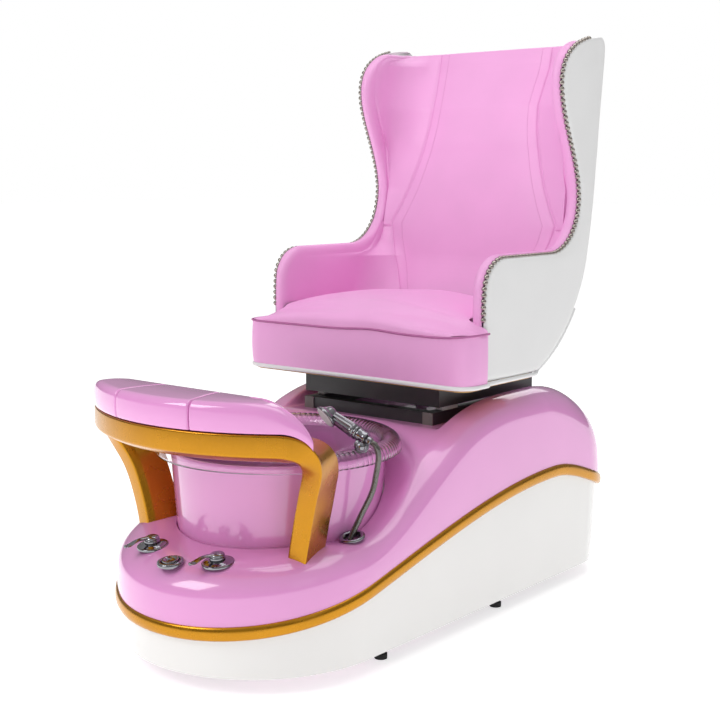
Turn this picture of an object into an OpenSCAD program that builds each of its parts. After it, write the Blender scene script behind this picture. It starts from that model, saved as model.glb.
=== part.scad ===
// Salon foot-spa chair: a wingback seat that slides on a fibreglass tub base,
// with a round foot basin, an arched footrest, water controls and a hand shower.
// Origin: centre of the footprint, on the floor. The sitter faces -Y, and +X is the sitter's left.

/* [Base] */
// Half width of the pink top shell
shell_hw = 332; // [300:1:345]
// Half length of the base, over the gold trim
half_length = 737; // [700:1:760]
// Radius of the rear corners in plan
rear_r = 190; // [120:1:200]
// Thickness of the moulded shells
wall = 8; // [5:1:10]
// Height of the skirt's bottom edge above the floor
skirt_z = 38; // [25:1:50]
// How far the gold trim stands out from the shell
trim_out = 6; // [3:1:10]
// Half height of the gold trim
trim_half = 15.5; // [10:0.5:20]
// Height of the control deck under the levers
deck_ref_z = 272; // [255:1:285]
// Slope of the control deck, in degrees
deck_tilt = 8; // [0:1:12]
// Height of the platform that carries the seat slide
platform_z = 490; // [480:1:500]
// Height of the two shoulders beside the slide
shoulder_z = 547; // [520:1:560]
// Half width of the channel between the shoulders
channel_hw = 250; // [240:1:260]

/* [Basin] */
// Y of the basin's centre
basin_y = -333; // [-345:1:-325]
// Outer radius of the basin body where it meets the deck
drum_r0 = 236; // [225:1:240]
// Outer radius of the basin body at the top
drum_r1 = 252; // [246:1:256]
// Height of the basin body's top edge
drum_top = 470; // [460:1:474]
// Radius of the clear bowl's rolled rim
rim_r = 282; // [270:1:286]
// Height of the clear bowl's floor
bowl_floor_z = 318; // [310:1:330]

/* [Footrest] */
// Radius of the footrest's front face in plan
arc_r = 475; // [465:1:485]
// Y of that arc's centre
arc_y = -262; // [-270:1:-255]
// Depth of the gold arch, front to back
arch_depth = 85; // [70:1:95]
// Y of the pads' straight rear edge
pad_rear_y = -595; // [-605:1:-590]
// Height of the gold arch's top face
arch_top = 573; // [565:1:580]
// Height of the pads' top face
pad_top = 637; // [620:1:650]
// X where the grooves between the pads meet the front face
groove_x = 112; // [90:1:140]

/* [Seat] */
// Half width of the cushion's front ears
ear_hw = 355; // [350:1:358]
// Half width inside the arms
inside_hw = 298; // [285:1:305]
// Half width over the white shell
outer_hw = 341; // [335:1:345]
// Height of the seat shell's bottom edge
seat_z = 592; // [592:1:592]
// Height of the cushion's top welt
cushion_z = 722; // [705:1:730]
// Height of the cushion's crown over that welt
crown = 74; // [40:1:78]
// Y of the cushion's front face
cushion_front = -80; // [-90:1:-70]

/* [Controls] */
// X of each lever, on both sides
lever_x = 103; // [95:1:112]
// Y of the levers
lever_y = -637; // [-640:1:-630]
// Length of each lever from its pivot
lever_len = 64; // [50:1:68]
// Radius of the lever spindles
spindle_r = 10; // [8:0.5:11]
// Radius of the jet button
button_r = 19; // [15:1:21]

/* [Hidden] */

pink = [0.91, 0.62, 0.83];
gold = [0.80, 0.55, 0.16];
white = [0.93, 0.92, 0.91];
black = [0.08, 0.08, 0.09];
chrome = [0.78, 0.78, 0.80];
gap = 0.3;
nose_y = -half_length + 12 + shell_hw;
rear_y = half_length - trim_out;
skirt_hw = shell_hw - 12;
cut = 2000;

// ---- shared functions ----
function smooth(t) = t <= 0 ? 0 : t >= 1 ? 1 : t * t * (3 - 2 * t);
function deck_z(y) = deck_ref_z + (y + 660) * tan(deck_tilt);
// Side profile of the shell: sloped deck, then an S-curve up to the shoulders
rise_y0 = -450;
rise_y1 = 336;
function rise_t(y) = max(0, min(1, (y - rise_y0) / (rise_y1 - rise_y0)));
function rise(y) = smooth(pow(sin(90 * rise_t(y)), 1.15));
function top_z(y) = y <= rise_y0 ? deck_z(y)
    : deck_z(rise_y0) + (shoulder_z - deck_z(rise_y0)) * rise(y);
// Centre line of the gold trim, seen from the side
trim_low = 135;
trim_high = 330;
trim_rear = 236;
function trim_t(y) = (y + half_length - 12) / (half_length - 12 + 360);
function trim_z(y) = y > 360 ? trim_high - (trim_high - trim_rear) * smooth((y - 360) / (rear_y - 330))
    : trim_low + (trim_high - trim_low) * (0.45 * sin(90 * max(0, trim_t(y))) + 0.55 * smooth(trim_t(y)));
function arc_pts(cx, cy, r, a0, a1, n) = [for (i = [0:n]) let (a = a0 + (a1 - a0) * i / n)
    [cx + r * cos(a), cy + r * sin(a)]];
function bez(a, b, c, d, n) = [for (i = [1:n]) let (t = i / n, u = 1 - t)
    u * u * u * a + 3 * u * u * t * b + 3 * u * t * t * c + t * t * t * d];
// Points of a path moved sideways by d, to the right of its direction
function path_dir(p, i) = let (a = p[max(0, i - 1)], b = p[min(len(p) - 1, i + 1)], v = b - a) v / norm(v);
function beside(p, d) = [for (i = [0:len(p) - 1]) let (v = path_dir(p, i)) p[i] + d * [v[1], -v[0]]];
function reversed(p) = [for (i = [len(p) - 1:-1:0]) p[i]];

// ---- shared shapes ----
// Extrudes a side profile, drawn as [y, z], between two x values
module side_extrude(x0, x1) {
    translate([x0, 0, 0]) rotate([90, 0, 90]) linear_extrude(x1 - x0) children();
}
// Plan outline: round nose at the front, straight sides, rounded rear corners
module plan(hw, rear) {
    r = rear_r - (shell_hw - hw);
    translate([0, nose_y]) circle(hw, $fn = 96);
    translate([-hw, nose_y]) square([2 * hw, rear - r - nose_y]);
    for (s = [-1, 1]) translate([s * (hw - r), rear - r]) circle(r, $fn = 64);
    translate([-(hw - r), rear - r - 1]) square([2 * (hw - r), r + 1]);
}
// Round tube swept along a list of points
function ring_at(p, i, r, n) = let (d = path_dir3(p, i),
    s = abs(d[2]) > 0.9 ? [1, 0, 0] : [0, 0, 1], a = cross(d, s) / norm(cross(d, s)), b = cross(d, a))
    [for (k = [0:n - 1]) p[i] + r * (cos(360 * k / n) * a + sin(360 * k / n) * b)];
function path_dir3(p, i) = let (v = p[min(len(p) - 1, i + 1)] - p[max(0, i - 1)]) v / norm(v);
module tube(p, r, n = 8) {
    m = len(p);
    polyhedron(points = [for (i = [0:m - 1]) each ring_at(p, i, r, n)],
        faces = concat([[for (k = [n - 1:-1:0]) k]], [[for (k = [0:n - 1]) (m - 1) * n + k]],
            [for (i = [0:m - 2], k = [0:n - 1])
                [i * n + k, i * n + (k + 1) % n, (i + 1) * n + (k + 1) % n, (i + 1) * n + k]]));
}
// Places a control square to the sloped deck
module on_deck(x, y) {
    translate([x, y, deck_z(y)]) rotate([deck_tilt, 0, 0]) children();
}
// ---- base ----
profile_y = [for (i = [0:24]) rise_y0 + (rise_y1 - rise_y0) * i / 24];
rear_round = [for (a = [80:-10:0]) [rise_y1 + (rear_y + 4 - rise_y1) * cos(a),
    260 + (shoulder_z - 260) * sin(a)]];
trim_y = [for (i = [0:40]) -half_length - 8 + (2 * half_length + 16) * i / 40];
// Side profile of the shell, lowered by d, and capped at height cap
module shell_profile(d, cap) {
    polygon(concat([for (y = trim_y) [y, trim_z(y)]],
        [for (p = reversed(rear_round)) [p[0], min(cap, p[1] - d)]],
        [for (y = reversed(profile_y)) [y, min(cap, top_z(y) - d)]],
        [[-half_length + 45, deck_z(-half_length + 45) - d], [-half_length + 14, 246 - d],
            [-half_length - 8, 200]]));
}
grommet = [265, -384, 303];
grommet_tilt = 13;
bolt_xy = [[244, -512], [244, -474]];
post_y = [60, 430];
module deck_holes() {
    for (s = [-1, 1]) on_deck(s * lever_x, lever_y) translate([0, 0, -20]) cylinder(40, r = 21, $fn = 48);
    on_deck(button_xy[0], button_xy[1]) translate([0, 0, -22]) cylinder(44, r = 23, $fn = 48);
    translate([260, -392, 200]) cylinder(100, r = 24, $fn = 48);
    translate(grommet) rotate([grommet_tilt, 0, 0]) {
        translate([0, 0, -40]) cylinder(80, r = 20.3, $fn = 48);
        cylinder(30, r = 30, $fn = 48);
    }
    for (b = bolt_xy, s = [-1, 1]) translate([s * b[0], b[1], 200]) cylinder(200, r = 5.2, $fn = 24);
    translate([0, basin_y, 200]) cylinder(200, r = 150, $fn = 64);
}
pocket_r = drum_r1 + 12;
module top_shell() {
    color(pink) difference() {
        intersection() {
            linear_extrude(600) plan(shell_hw, rear_y);
            side_extrude(-400, 400) shell_profile(0, 999);
        }
        difference() {
            intersection() {
                linear_extrude(600) plan(shell_hw - wall, rear_y - wall);
                side_extrude(-400, 400) shell_profile(wall, platform_z - wall);
            }
            translate([0, basin_y, deck_z(rise_y0) - 60]) cylinder(400, r = pocket_r + wall, $fn = 96);
        }
        translate([-channel_hw, -100, platform_z]) cube([2 * channel_hw, 1000, 300]);
        translate([0, basin_y, drum_seat_z]) cylinder(400, r = pocket_r, $fn = 96);
        translate([0, basin_y, 444]) cylinder(200, r = rim_r + 8, $fn = 96);
        deck_holes();
    }
}
// The basin body stands on a level seat moulded below the deck's slope
drum_seat_z = 255;
module trim_band() {
    color(gold) intersection() {
        difference() {
            linear_extrude(600) plan(shell_hw + trim_out, rear_y + trim_out);
            translate([0, 0, -1]) linear_extrude(602) plan(shell_hw, rear_y);
        }
        side_extrude(-400, 400) polygon(concat([for (y = trim_y) [y, trim_z(y) - trim_half]],
            [for (y = reversed(trim_y)) [y, trim_z(y) + trim_half]]));
    }
}
panel_w = 260;
panel_z0 = 70;
panel_z1 = 205;
module base_skirt() {
    color(white) difference() {
        union() {
            intersection() {
                difference() {
                    linear_extrude(600) plan(skirt_hw, rear_y - 12);
                    translate([0, 0, -1]) linear_extrude(602) plan(skirt_hw - 6, rear_y - 18);
                }
                side_extrude(-400, 400) polygon(concat([[-800, skirt_z], [800, skirt_z]],
                    [for (y = reversed(trim_y)) [y, trim_z(y)]]));
            }
            intersection() {
                difference() {
                    linear_extrude(600) plan(shell_hw, rear_y);
                    translate([0, 0, -1]) linear_extrude(602) plan(skirt_hw - 6, rear_y - 18);
                }
                side_extrude(-400, 400) polygon(concat([for (y = trim_y) [y, trim_z(y) - 12]],
                    [for (y = reversed(trim_y)) [y, trim_z(y)]]));
            }
        }
        translate([-panel_w / 2, rear_y - 40, panel_z0]) cube([panel_w, 60, panel_z1 - panel_z0]);
    }
}
inlet_x = 60;
inlet_z = 110;
tail_len = 17;
module rear_access_panel() {
    color(white) difference() {
        union() {
            translate([-panel_w / 2 + gap, rear_y - 18, panel_z0 + gap])
                cube([panel_w - 2 * gap, 6, panel_z1 - panel_z0 - 2 * gap]);
            translate([-panel_w / 2 - 12, rear_y - 22, panel_z0 - 12])
                cube([panel_w + 24, 4, panel_z1 - panel_z0 + 24]);
        }
        for (s = [-1, 1]) translate([s * inlet_x, rear_y - 40, inlet_z]) rotate([-90, 0, 0])
            cylinder(60, r = 15, $fn = 48);
        translate([0, rear_y - 40, inlet_z]) rotate([-90, 0, 0]) cylinder(60, r = 20, $fn = 48);
        translate([-14, rear_y - 40, 160]) cube([28, 60, 20]);
    }
}
foot_xy = [[70, -592], [270, -288], [270, 183], [130, 630]];
module leveling_feet() {
    color(black) for (f = foot_xy, s = [-1, 1]) translate([s * f[0], f[1], 0]) {
        cylinder(12, r = 15, $fn = 32);
        translate([0, 0, 12]) cylinder(8, r = 11, $fn = 32);
        translate([0, 0, 20]) cylinder(skirt_z - 20, r = 5, $fn = 24);
    }
}
tube_h = 20;
module chassis_frame() {
    color(black) difference() {
        chassis_bars();
        for (s = [-1, 1], y = post_y) translate([s * 192 - 17, y - 17, skirt_z + tube_h]) cube([34, 34, 500]);
    }
}
module chassis_bars() {
    union() {
        for (s = [-1, 1]) {
            translate([s * 285 - 15, -330, skirt_z]) cube([30, 850, tube_h]);
            translate([s * 70 - 15, -610, skirt_z]) cube([30, 1260, tube_h]);
        }
        for (y = [-300, 170, 400])
            translate([-skirt_hw + 6, y, skirt_z]) cube([2 * skirt_hw - 12, 30, tube_h]);
        translate([-150, 615, skirt_z]) cube([300, 30, tube_h]);
        translate([-90, -610, skirt_z]) cube([180, 30, tube_h]);
        for (s = [-1, 1], y = post_y) {
            translate([s * 192 - 20, y - 20, skirt_z]) cube([40, 40, platform_z - wall - skirt_z]);
            translate([min(s * 192, s * 285) - 10, y - 20, skirt_z]) cube([113, 40, tube_h]);
        }
    }
}
tray_z = skirt_z + tube_h;
module equipment_tray() {
    color("silver") translate([-160, 120, tray_z]) difference() {
        cube([320, 490, 3]);
        for (x = [30, 290], y = [30, 460]) translate([x, y, -1]) cylinder(5, r = 4, $fn = 24);
    }
}
module control_box() {
    color([0.3, 0.3, 0.32]) translate([-150, 300, tray_z + 3]) difference() {
        cube([78, 170, 90]);
        translate([3, 3, 3]) cube([72, 164, 84]);
        translate([60, -5, 40]) rotate([-90, 0, 0]) cylinder(10, r = 4, $fn = 24);
    }
}
module power_inlet() {
    color(black) translate([0, rear_y - 30, 160]) {
        difference() {
            translate([-14 + gap, 0, gap]) cube([28 - 2 * gap, 20, 20 - 2 * gap]);
            translate([-9, 8, 4]) cube([18, 30, 12]);
        }
    }
}
module water_inlets() {
    color("gold") for (s = [-1, 1]) translate([s * inlet_x, rear_y - 60, inlet_z]) rotate([-90, 0, 0]) {
        difference() {
            union() {
                cylinder(66 - tail_len, r = 9.6, $fn = 48);
                translate([0, 0, 66 - tail_len]) cylinder(tail_len, r = 10.45, $fn = 48);
                translate([0, 0, 26]) cylinder(12 - gap, r = 16, $fn = 6);
            }
            translate([0, 0, -1]) cylinder(70, r = 7.5, $fn = 32);
        }
    }
}
// Flexible supply hoses from the inlets, inside the base, up to the valves
supply_route = [[60, 671, 110], [60, 560, 105], [60, 420, 104], [60, 250, 104], [60, 50, 104],
    [62, -120, 104], [80, -300, 100], [98, -480, 100], [103, -570, 104], [103, -625, 125],
    [103, -629, 160], [103, -629, 193]];
module supply_lines() {
    color("silver") for (s = [-1, 1]) scale([s, 1, 1]) tube(supply_route, 6);
}

// ---- basin ----
module basin_drum() {
    color(pink) translate([0, basin_y, 0]) rotate_extrude($fn = 96) polygon([[drum_r0 - 6, drum_seat_z],
        [drum_r0, drum_seat_z], [drum_r1, drum_top], [drum_r1 - 6, drum_top]]);
}
drain_xy = [0, -80];
jet_xy = [0, 55];
module basin_bowl() {
    color([0.95, 0.85, 0.95, 0.5]) translate([0, basin_y, 0]) difference() {
        rotate_extrude($fn = 96) polygon(concat([[0, bowl_floor_z - 6], [176, bowl_floor_z - 6]],
            arc_pts(176, bowl_floor_z + 24, 30, -75, -10, 5),
            [[238, drum_top], [rim_r - 8, drum_top]],
            arc_pts(rim_r - 10, drum_top + 10, 10, -80, 90, 8),
            [[240, drum_top + 14], [230, drum_top + 4]],
            arc_pts(174, bowl_floor_z + 26, 26, -10, -90, 5),
            [[0, bowl_floor_z]]));
        translate([drain_xy[0], drain_xy[1], 200]) cylinder(300, r = 25, $fn = 48);
        translate([jet_xy[0], jet_xy[1], 200]) cylinder(300, r = 40, $fn = 48);
    }
}
module at_drain(z) {
    translate([drain_xy[0], basin_y + drain_xy[1], z]) children();
}
module at_jet(z) {
    translate([jet_xy[0], basin_y + jet_xy[1], z]) children();
}
module drain_flange() {
    color(chrome) at_drain(0) difference() {
        union() {
            translate([0, 0, bowl_floor_z]) cylinder(3, r = 35, $fn = 48);
            translate([0, 0, bowl_floor_z - 50]) cylinder(50, r = 24.8, $fn = 48);
        }
        translate([0, 0, bowl_floor_z - 60]) cylinder(90, r = 20, $fn = 48);
    }
}
module drain_stopper() {
    color(chrome) at_drain(bowl_floor_z) {
        translate([0, 0, 3 + gap]) cylinder(5, r = 24, $fn = 48);
        translate([0, 0, 8]) cylinder(10, r = 7, $fn = 32);
        translate([0, 0, -24]) cylinder(28, r = 4, $fn = 32);
        difference() {
            translate([0, 0, -20]) cylinder(4, r = 19.5, $fn = 48);
            for (a = [0:60:300]) rotate([0, 0, a]) translate([12, 0, -22]) cylinder(8, r = 4, $fn = 24);
        }
    }
}
drain_z = bowl_floor_z - 50;
module drain_pipe() {
    y0 = basin_y + drain_xy[1];
    color([0.8, 0.8, 0.82]) difference() {
        union() {
            translate([0, y0, inlet_z - 22]) cylinder(drain_z - inlet_z + 22, r = 22, $fn = 48);
            translate([0, y0, inlet_z]) rotate([-90, 0, 0]) cylinder(rear_y - y0, r = 19.5, $fn = 48);
        }
        translate([0, y0, inlet_z - 18]) cylinder(400, r = 18, $fn = 48);
        translate([0, y0, inlet_z]) rotate([-90, 0, 0]) cylinder(1200, r = 16, $fn = 48);
    }
}
module jet_housing() {
    color(white) at_jet(bowl_floor_z) difference() {
        union() {
            cylinder(4, r = 52, $fn = 64);
            translate([0, 0, -30]) cylinder(30, r = 39.8, $fn = 64);
        }
        translate([0, 0, -26]) cylinder(60, r = 34, $fn = 64);
    }
}
module jet_impeller() {
    color("silver") at_jet(bowl_floor_z - 24) {
        cylinder(5, r = 31, $fn = 48);
        difference() {
            cylinder(20, r = 8, $fn = 32);
            translate([0, 0, 14]) cylinder(10, r = 4, $fn = 32);
        }
        for (a = [0:60:300]) rotate([0, 0, a]) translate([7, -1.5, 4]) cube([22, 3, 12]);
    }
}
module jet_cover() {
    color(white) at_jet(bowl_floor_z + 4) {
        difference() {
            cylinder(16, r = 50, $fn = 64);
            translate([0, 0, -1]) cylinder(13, r = 46, $fn = 64);
            for (a = [0:30:330]) rotate([0, 0, a]) translate([22, -3, 5]) cube([20, 6, 20]);
            translate([0, 0, 5]) cylinder(20, r = 12, $fn = 48);
        }
    }
}
module jet_motor() {
    color(black) at_jet(bowl_floor_z - 30 - 70) {
        cylinder(70, r = 38, $fn = 64);
        for (a = [0:30:330]) rotate([0, 0, a]) translate([37, -2, 6]) cube([5, 4, 52]);
    }
}

// ---- footrest ----
arch_hw = 348;
corner_x = 55;
corner_z = 65;
// Front outline of the arch's top edge, from the middle to the outer end, raised by k
function arch_line(k, end = 0) = [for (a = [90:-10:end])
    [arch_hw - corner_x + corner_x * cos(a), arch_top - corner_z + corner_z * sin(a) + k]];
function both_sides(p) = concat([for (q = reversed(p)) [-q[0], q[1]]], p);
// Plan of the arch's front, cut off behind y = back
module arch_plan(back) {
    difference() {
        translate([0, arc_y]) circle(arc_r, $fn = 180);
        translate([-cut, back]) square([2 * cut, cut]);
    }
}
module leg_slab(x0, x1, y0, y1, z) {
    translate([x0, y0, z]) cube([x1 - x0, y1 - y0, 2]);
}
module footrest_frame() {
    color(gold) difference() {
        union() {
            intersection() {
                translate([0, 0, 300]) linear_extrude(300) difference() {
                    arch_plan(-500);
                    translate([0, arc_y]) circle(arc_r - arch_depth, $fn = 180);
                }
                rotate([90, 0, 0]) linear_extrude(cut) polygon(concat(both_sides(arch_line(0)),
                    reversed(both_sides([[arch_hw - 60, arch_top - 60],
                        [arch_hw - 45, arch_top - corner_z]]))));
            }
            for (s = [-1, 1]) scale([s, 1, 1]) {
                hull() {
                    leg_slab(294, 348, -584, -500, arch_top - corner_z - 2);
                    leg_slab(259, 303, -546, -462, 430);
                }
                hull() {
                    leg_slab(259, 303, -546, -462, 430);
                    leg_slab(219, 262, -537, -449, 250);
                }
            }
        }
        translate([-cut, -660, deck_ref_z]) rotate([deck_tilt, 0, 0]) translate([0, -400, -200])
            cube([2 * cut, 2 * cut, 200]);
        for (b = bolt_xy, s = [-1, 1]) translate([s * b[0], b[1], 240]) cylinder(90, r = 5.2, $fn = 24);
    }
}
module footrest_bolts() {
    color(chrome) for (b = bolt_xy, s = [-1, 1]) translate([s * b[0], b[1], 0]) {
        translate([0, 0, 262]) cylinder(60, r = 5, $fn = 24);
        translate([0, 0, 262]) cylinder(16, r = 9, $fn = 6);
    }
}
// Angle of the pad grooves, seen from the arc's centre
groove_a = asin(groove_x / arc_r);
pad_end_x = 86;
pad_end_z = 70;
module pad_piece(a0, a1) {
    intersection() {
        translate([0, 0, 300]) linear_extrude(400) intersection() {
            arch_plan(pad_rear_y);
            translate([0, arc_y]) polygon(concat([[0, 0]], arc_pts(0, 0, 700, a0 - 90, a1 - 90, 8)));
        }
        rotate([90, 0, 0]) linear_extrude(cut) polygon(concat(both_sides(arch_line(gap + 1, 40)),
            reversed(both_sides([for (a = [90:-10:10])
                [arch_hw - pad_end_x + pad_end_x * cos(a), pad_top - pad_end_z + pad_end_z * sin(a)]]))));
    }
}
module footrest_pad_left() {
    color(pink) pad_piece(groove_a + 0.15, 70);
}
module footrest_pad_center() {
    color(pink) pad_piece(-groove_a + 0.15, groove_a - 0.15);
}
module footrest_pad_right() {
    color(pink) pad_piece(-70, -groove_a - 0.15);
}

// ---- controls ----
module escutcheon(side) {
    color(chrome) on_deck(side * lever_x, lever_y) difference() {
        union() {
            cylinder(3, r = 35, $fn = 64);
            translate([0, 0, 3]) cylinder(4, r1 = 31, r2 = 20, $fn = 64);
            translate([0, 0, -9]) cylinder(9, r = 20.7, $fn = 48);
        }
        translate([0, 0, -20]) cylinder(60, r = spindle_r + 0.05, $fn = 48);
    }
}
lever_angle = 252;
module lever(side) {
    color(chrome) on_deck(side * lever_x, lever_y) {
        translate([0, 0, -14]) cylinder(24, r = spindle_r, $fn = 48);
        translate([0, 0, 7 + gap]) cylinder(15, r = 17, $fn = 48);
        rotate([0, 0, lever_angle]) hull() {
            translate([0, 0, 14]) cylinder(7, r = 11, $fn = 32);
            translate([lever_len - 6, 0, 16]) cylinder(5, r = 6, $fn = 32);
        }
    }
}
module valve(side) {
    color("gold") on_deck(side * lever_x, lever_y) difference() {
        union() {
            translate([0, 0, -54]) cylinder(45, r = 20, $fn = 48);
            translate([0, 0, -76]) cylinder(22, r = 8, $fn = 32);
        }
        translate([0, 0, -30]) cylinder(60, r = spindle_r + 0.05, $fn = 48);
    }
}
module hot_escutcheon() {
    escutcheon(1);
}
module cold_escutcheon() {
    escutcheon(-1);
}
module hot_lever() {
    lever(1);
}
module cold_lever() {
    lever(-1);
}
module hot_valve() {
    valve(1);
}
module cold_valve() {
    valve(-1);
}
button_xy = [8, -686];
module button_bezel() {
    color(chrome) on_deck(button_xy[0], button_xy[1]) difference() {
        union() {
            cylinder(3, r = 29, $fn = 64);
            translate([0, 0, 3]) cylinder(3, r1 = 28, r2 = 24, $fn = 64);
            translate([0, 0, -20]) cylinder(20, r = 22.7, $fn = 48);
        }
        translate([0, 0, -25]) cylinder(60, r = button_r + 0.1, $fn = 48);
    }
}
module jet_button() {
    color(chrome) on_deck(button_xy[0], button_xy[1]) translate([0, 0, -6]) {
        difference() {
            cylinder(14, r = button_r, $fn = 48);
            translate([0, 0, 12]) cylinder(4, r1 = 10, r2 = 13, $fn = 48);
        }
    }
}
module air_switch() {
    color([0.25, 0.25, 0.27]) on_deck(button_xy[0], button_xy[1]) translate([0, 0, -50]) {
        difference() {
            cylinder(30, r = 21, $fn = 48);
            translate([0, 0, 6]) cylinder(30, r = 17, $fn = 48);
        }
        translate([0, 0, 6]) cylinder(22, r = 11, $fn = 48);
        translate([0, 0, -12]) cylinder(12, r = 3.5, $fn = 24);
    }
}
air_route = [[8, -677.3, 206.4], [8, -675.8, 194], [6, -672, 165], [0, -658, 140], [-6, -600, 118],
    [-20, -480, 86], [-130, -380, 84], [-140, -250, 86], [-130, -60, 90], [-110, 100, 95], [-98, 200, 100],
    [-92, 260, 102], [-90, 300 - gap, 101]];
module air_tube() {
    color([0.2, 0.2, 0.22]) tube(air_route, 3);
}
// Mixed water: valve to valve, then on to the lower end of the hand shower's hose
mix_route = [[-82.9, -631, 231], [-40, -631, 231], [40, -631, 231], [82.9, -631, 231]];
feed_route = [[119.2, -616.7, 231], [165, -590, 228], [205, -520, 226], [240, -440, 226], [258, -400, 230]];
module mixed_water_line() {
    color("silver") {
        tube(mix_route, 6);
        tube(feed_route, 6);
    }
}

// ---- hand shower ----
module hose_grommet() {
    color(chrome) translate(grommet) rotate([grommet_tilt, 0, 0]) difference() {
        union() {
            cylinder(4, r = 29, $fn = 64);
            translate([0, 0, 4]) cylinder(2, r1 = 27, r2 = 24, $fn = 64);
            translate([0, 0, -14]) cylinder(14, r = 20, $fn = 48);
        }
        translate([0, 0, -40]) cylinder(80, r = 17, $fn = 48);
    }
}
handle_base = [272, -350, 522];
handle_dir = [-0.883, -0.158, 0.442];
// Turns +Z onto the handle's axis, with the origin where the handle leaves its holder
module on_handle() {
    translate(handle_base) rotate([0, acos(handle_dir[2]), atan2(handle_dir[1], handle_dir[0])]) children();
}
hose_route = [[290.2, -346.7, 512.9], [297, -345.5, 509.5], [303, -342.5, 497], [304, -340, 479],
    [300, -339, 458], [297, -341, 438], [294, -344, 415], [288, -349, 392], [280, -354, 372],
    [272, -360, 352], [267, -366, 335], [263, -373, 320], [261, -380, 305], [260, -386, 290],
    [259, -392, 275], [258, -396, 260], [258, -399, 246], [258, -400, 231 + 6.5]];
hose_r = 7;
module shower_hose() {
    color(chrome) tube(hose_route, hose_r, 12);
}
module shower_holder() {
    ball = [264, -350, 503];
    color(chrome) difference() {
        union() {
            translate([ball[0], ball[1], drum_top + 20]) cylinder(14, r = 8, $fn = 32);
            translate([ball[0] - 4, ball[1], drum_top + 20]) cylinder(4, r = 12, $fn = 32);
            translate(ball) sphere(17, $fn = 48);
            on_handle() translate([0, 0, -6]) cylinder(24, r = 15, $fn = 48);
        }
        on_handle() translate([0, 0, -40]) cylinder(100, r = 11.8, $fn = 48);
        translate([200, -450, drum_top]) cube([200, 200, 20]);
    }
}
head_normal = [-0.35, -0.75, -0.56];
module face_turn() {
    n = head_normal / norm(head_normal);
    translate(handle_base + 100 * handle_dir) rotate([0, acos(n[2]), atan2(n[1], n[0])]) children();
}
module shower_handle() {
    color(chrome) {
        on_handle() {
            translate([0, 0, -20]) cylinder(14, r = 9, $fn = 6);
            translate([0, 0, -8]) cylinder(28, r = 11, $fn = 48);
            translate([0, 0, 18 + gap]) cylinder(14, r1 = 12, r2 = 16, $fn = 48);
        }
        difference() {
            on_handle() translate([0, 0, 32]) cylinder(60, r1 = 16, r2 = 13, $fn = 48);
            face_turn() translate([0, 0, 8 - gap]) cylinder(30, r = 40, $fn = 48);
        }
        face_turn() translate([0, 0, -14]) cylinder(22 - gap, r1 = 15, r2 = 27, $fn = 48);
    }
}
module shower_face() {
    color(white) face_turn() translate([0, 0, 8]) cylinder(4, r = 24, $fn = 48);
}

// ---- seat slide ----
rail_x = 192;
rail_h = 30;
module slide_rails() {
    color(black) difference() {
        union() {
            for (s = [-1, 1]) translate([s * rail_x - 15, -7, platform_z]) cube([30, 477, rail_h]);
            for (y = [-7, 440]) translate([-rail_x, y, platform_z]) cube([2 * rail_x, 30, rail_h]);
        }
        for (s = [-1, 1], y = [60, 400])
            translate([s * rail_x, y, platform_z - 1]) cylinder(40, r = 4, $fn = 24);
    }
}
module rail_end_caps() {
    color([0.45, 0.43, 0.42]) for (s = [-1, 1])
        translate([s * rail_x - 15, -10, platform_z]) cube([30, 3, rail_h]);
}
carriage_z = 533;
carriage_hw = 216;
module seat_carriage() {
    color(black) {
        for (s = [-1, 1])
            translate([s * (carriage_hw - 2) - 2, 5, carriage_z]) cube([4, 422, seat_z - 2 - carriage_z]);
        translate([-carriage_hw, 5, carriage_z]) cube([2 * carriage_hw, 4, seat_z - 2 - carriage_z]);
        translate([-carriage_hw, 5, seat_z - 6]) cube([2 * carriage_hw, 240, 4]);
        translate([-carriage_hw, 395, 566]) cube([2 * carriage_hw, 32, 22]);
        for (s = [-1, 1]) translate([s * rail_x - 20, 9, carriage_z]) cube([40, 418, 4]);
    }
}
module glide_blocks() {
    color(white) for (s = [-1, 1], y = [40, 340]) translate([s * rail_x - 12, y, platform_z + rail_h + gap])
        cube([24, 60, carriage_z - platform_z - rail_h - gap]);
}
actuator_z = 540;
module slide_actuator() {
    color("silver") difference() {
        union() {
            translate([0, 200, actuator_z]) rotate([-90, 0, 0]) cylinder(205, r = 18, $fn = 48);
            for (y = [215, 375]) translate([-12, y, platform_z]) cube([24, 16, actuator_z - platform_z]);
            for (y = [215, 375]) translate([-30, y, platform_z]) cube([60, 16, 6]);
        }
        translate([0, 190, actuator_z]) rotate([-90, 0, 0]) cylinder(206, r = 9.05, $fn = 48);
    }
}
module actuator_rod() {
    color(chrome) translate([0, 9, actuator_z]) rotate([-90, 0, 0]) cylinder(316, r = 9, $fn = 48);
}
module slide_motor() {
    color(black) {
        translate([19, 300, platform_z]) cube([46, 70, 60]);
        translate([18, 310, actuator_z - 12]) cube([1, 50, 20]);
    }
}

// ---- seat and wingback ----
// Front edge of the shell's side, from the bottom up over the arm and the wing to the top
arm_r = 78;
neck_r = 138;
front_edge = concat([[18, seat_z + 14], [18, 790]],
    arc_pts(20 + arm_r, 896 - arm_r, arm_r, 180, 90, 7),
    arc_pts(312, 896 + neck_r, neck_r, -90, -8, 7),
    bez([449, 1015], [470, 1120], [366, 1230], [366, 1322], 10),
    bez([366, 1322], [366, 1400], [440, 1436], [546, 1446], 7));
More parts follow.
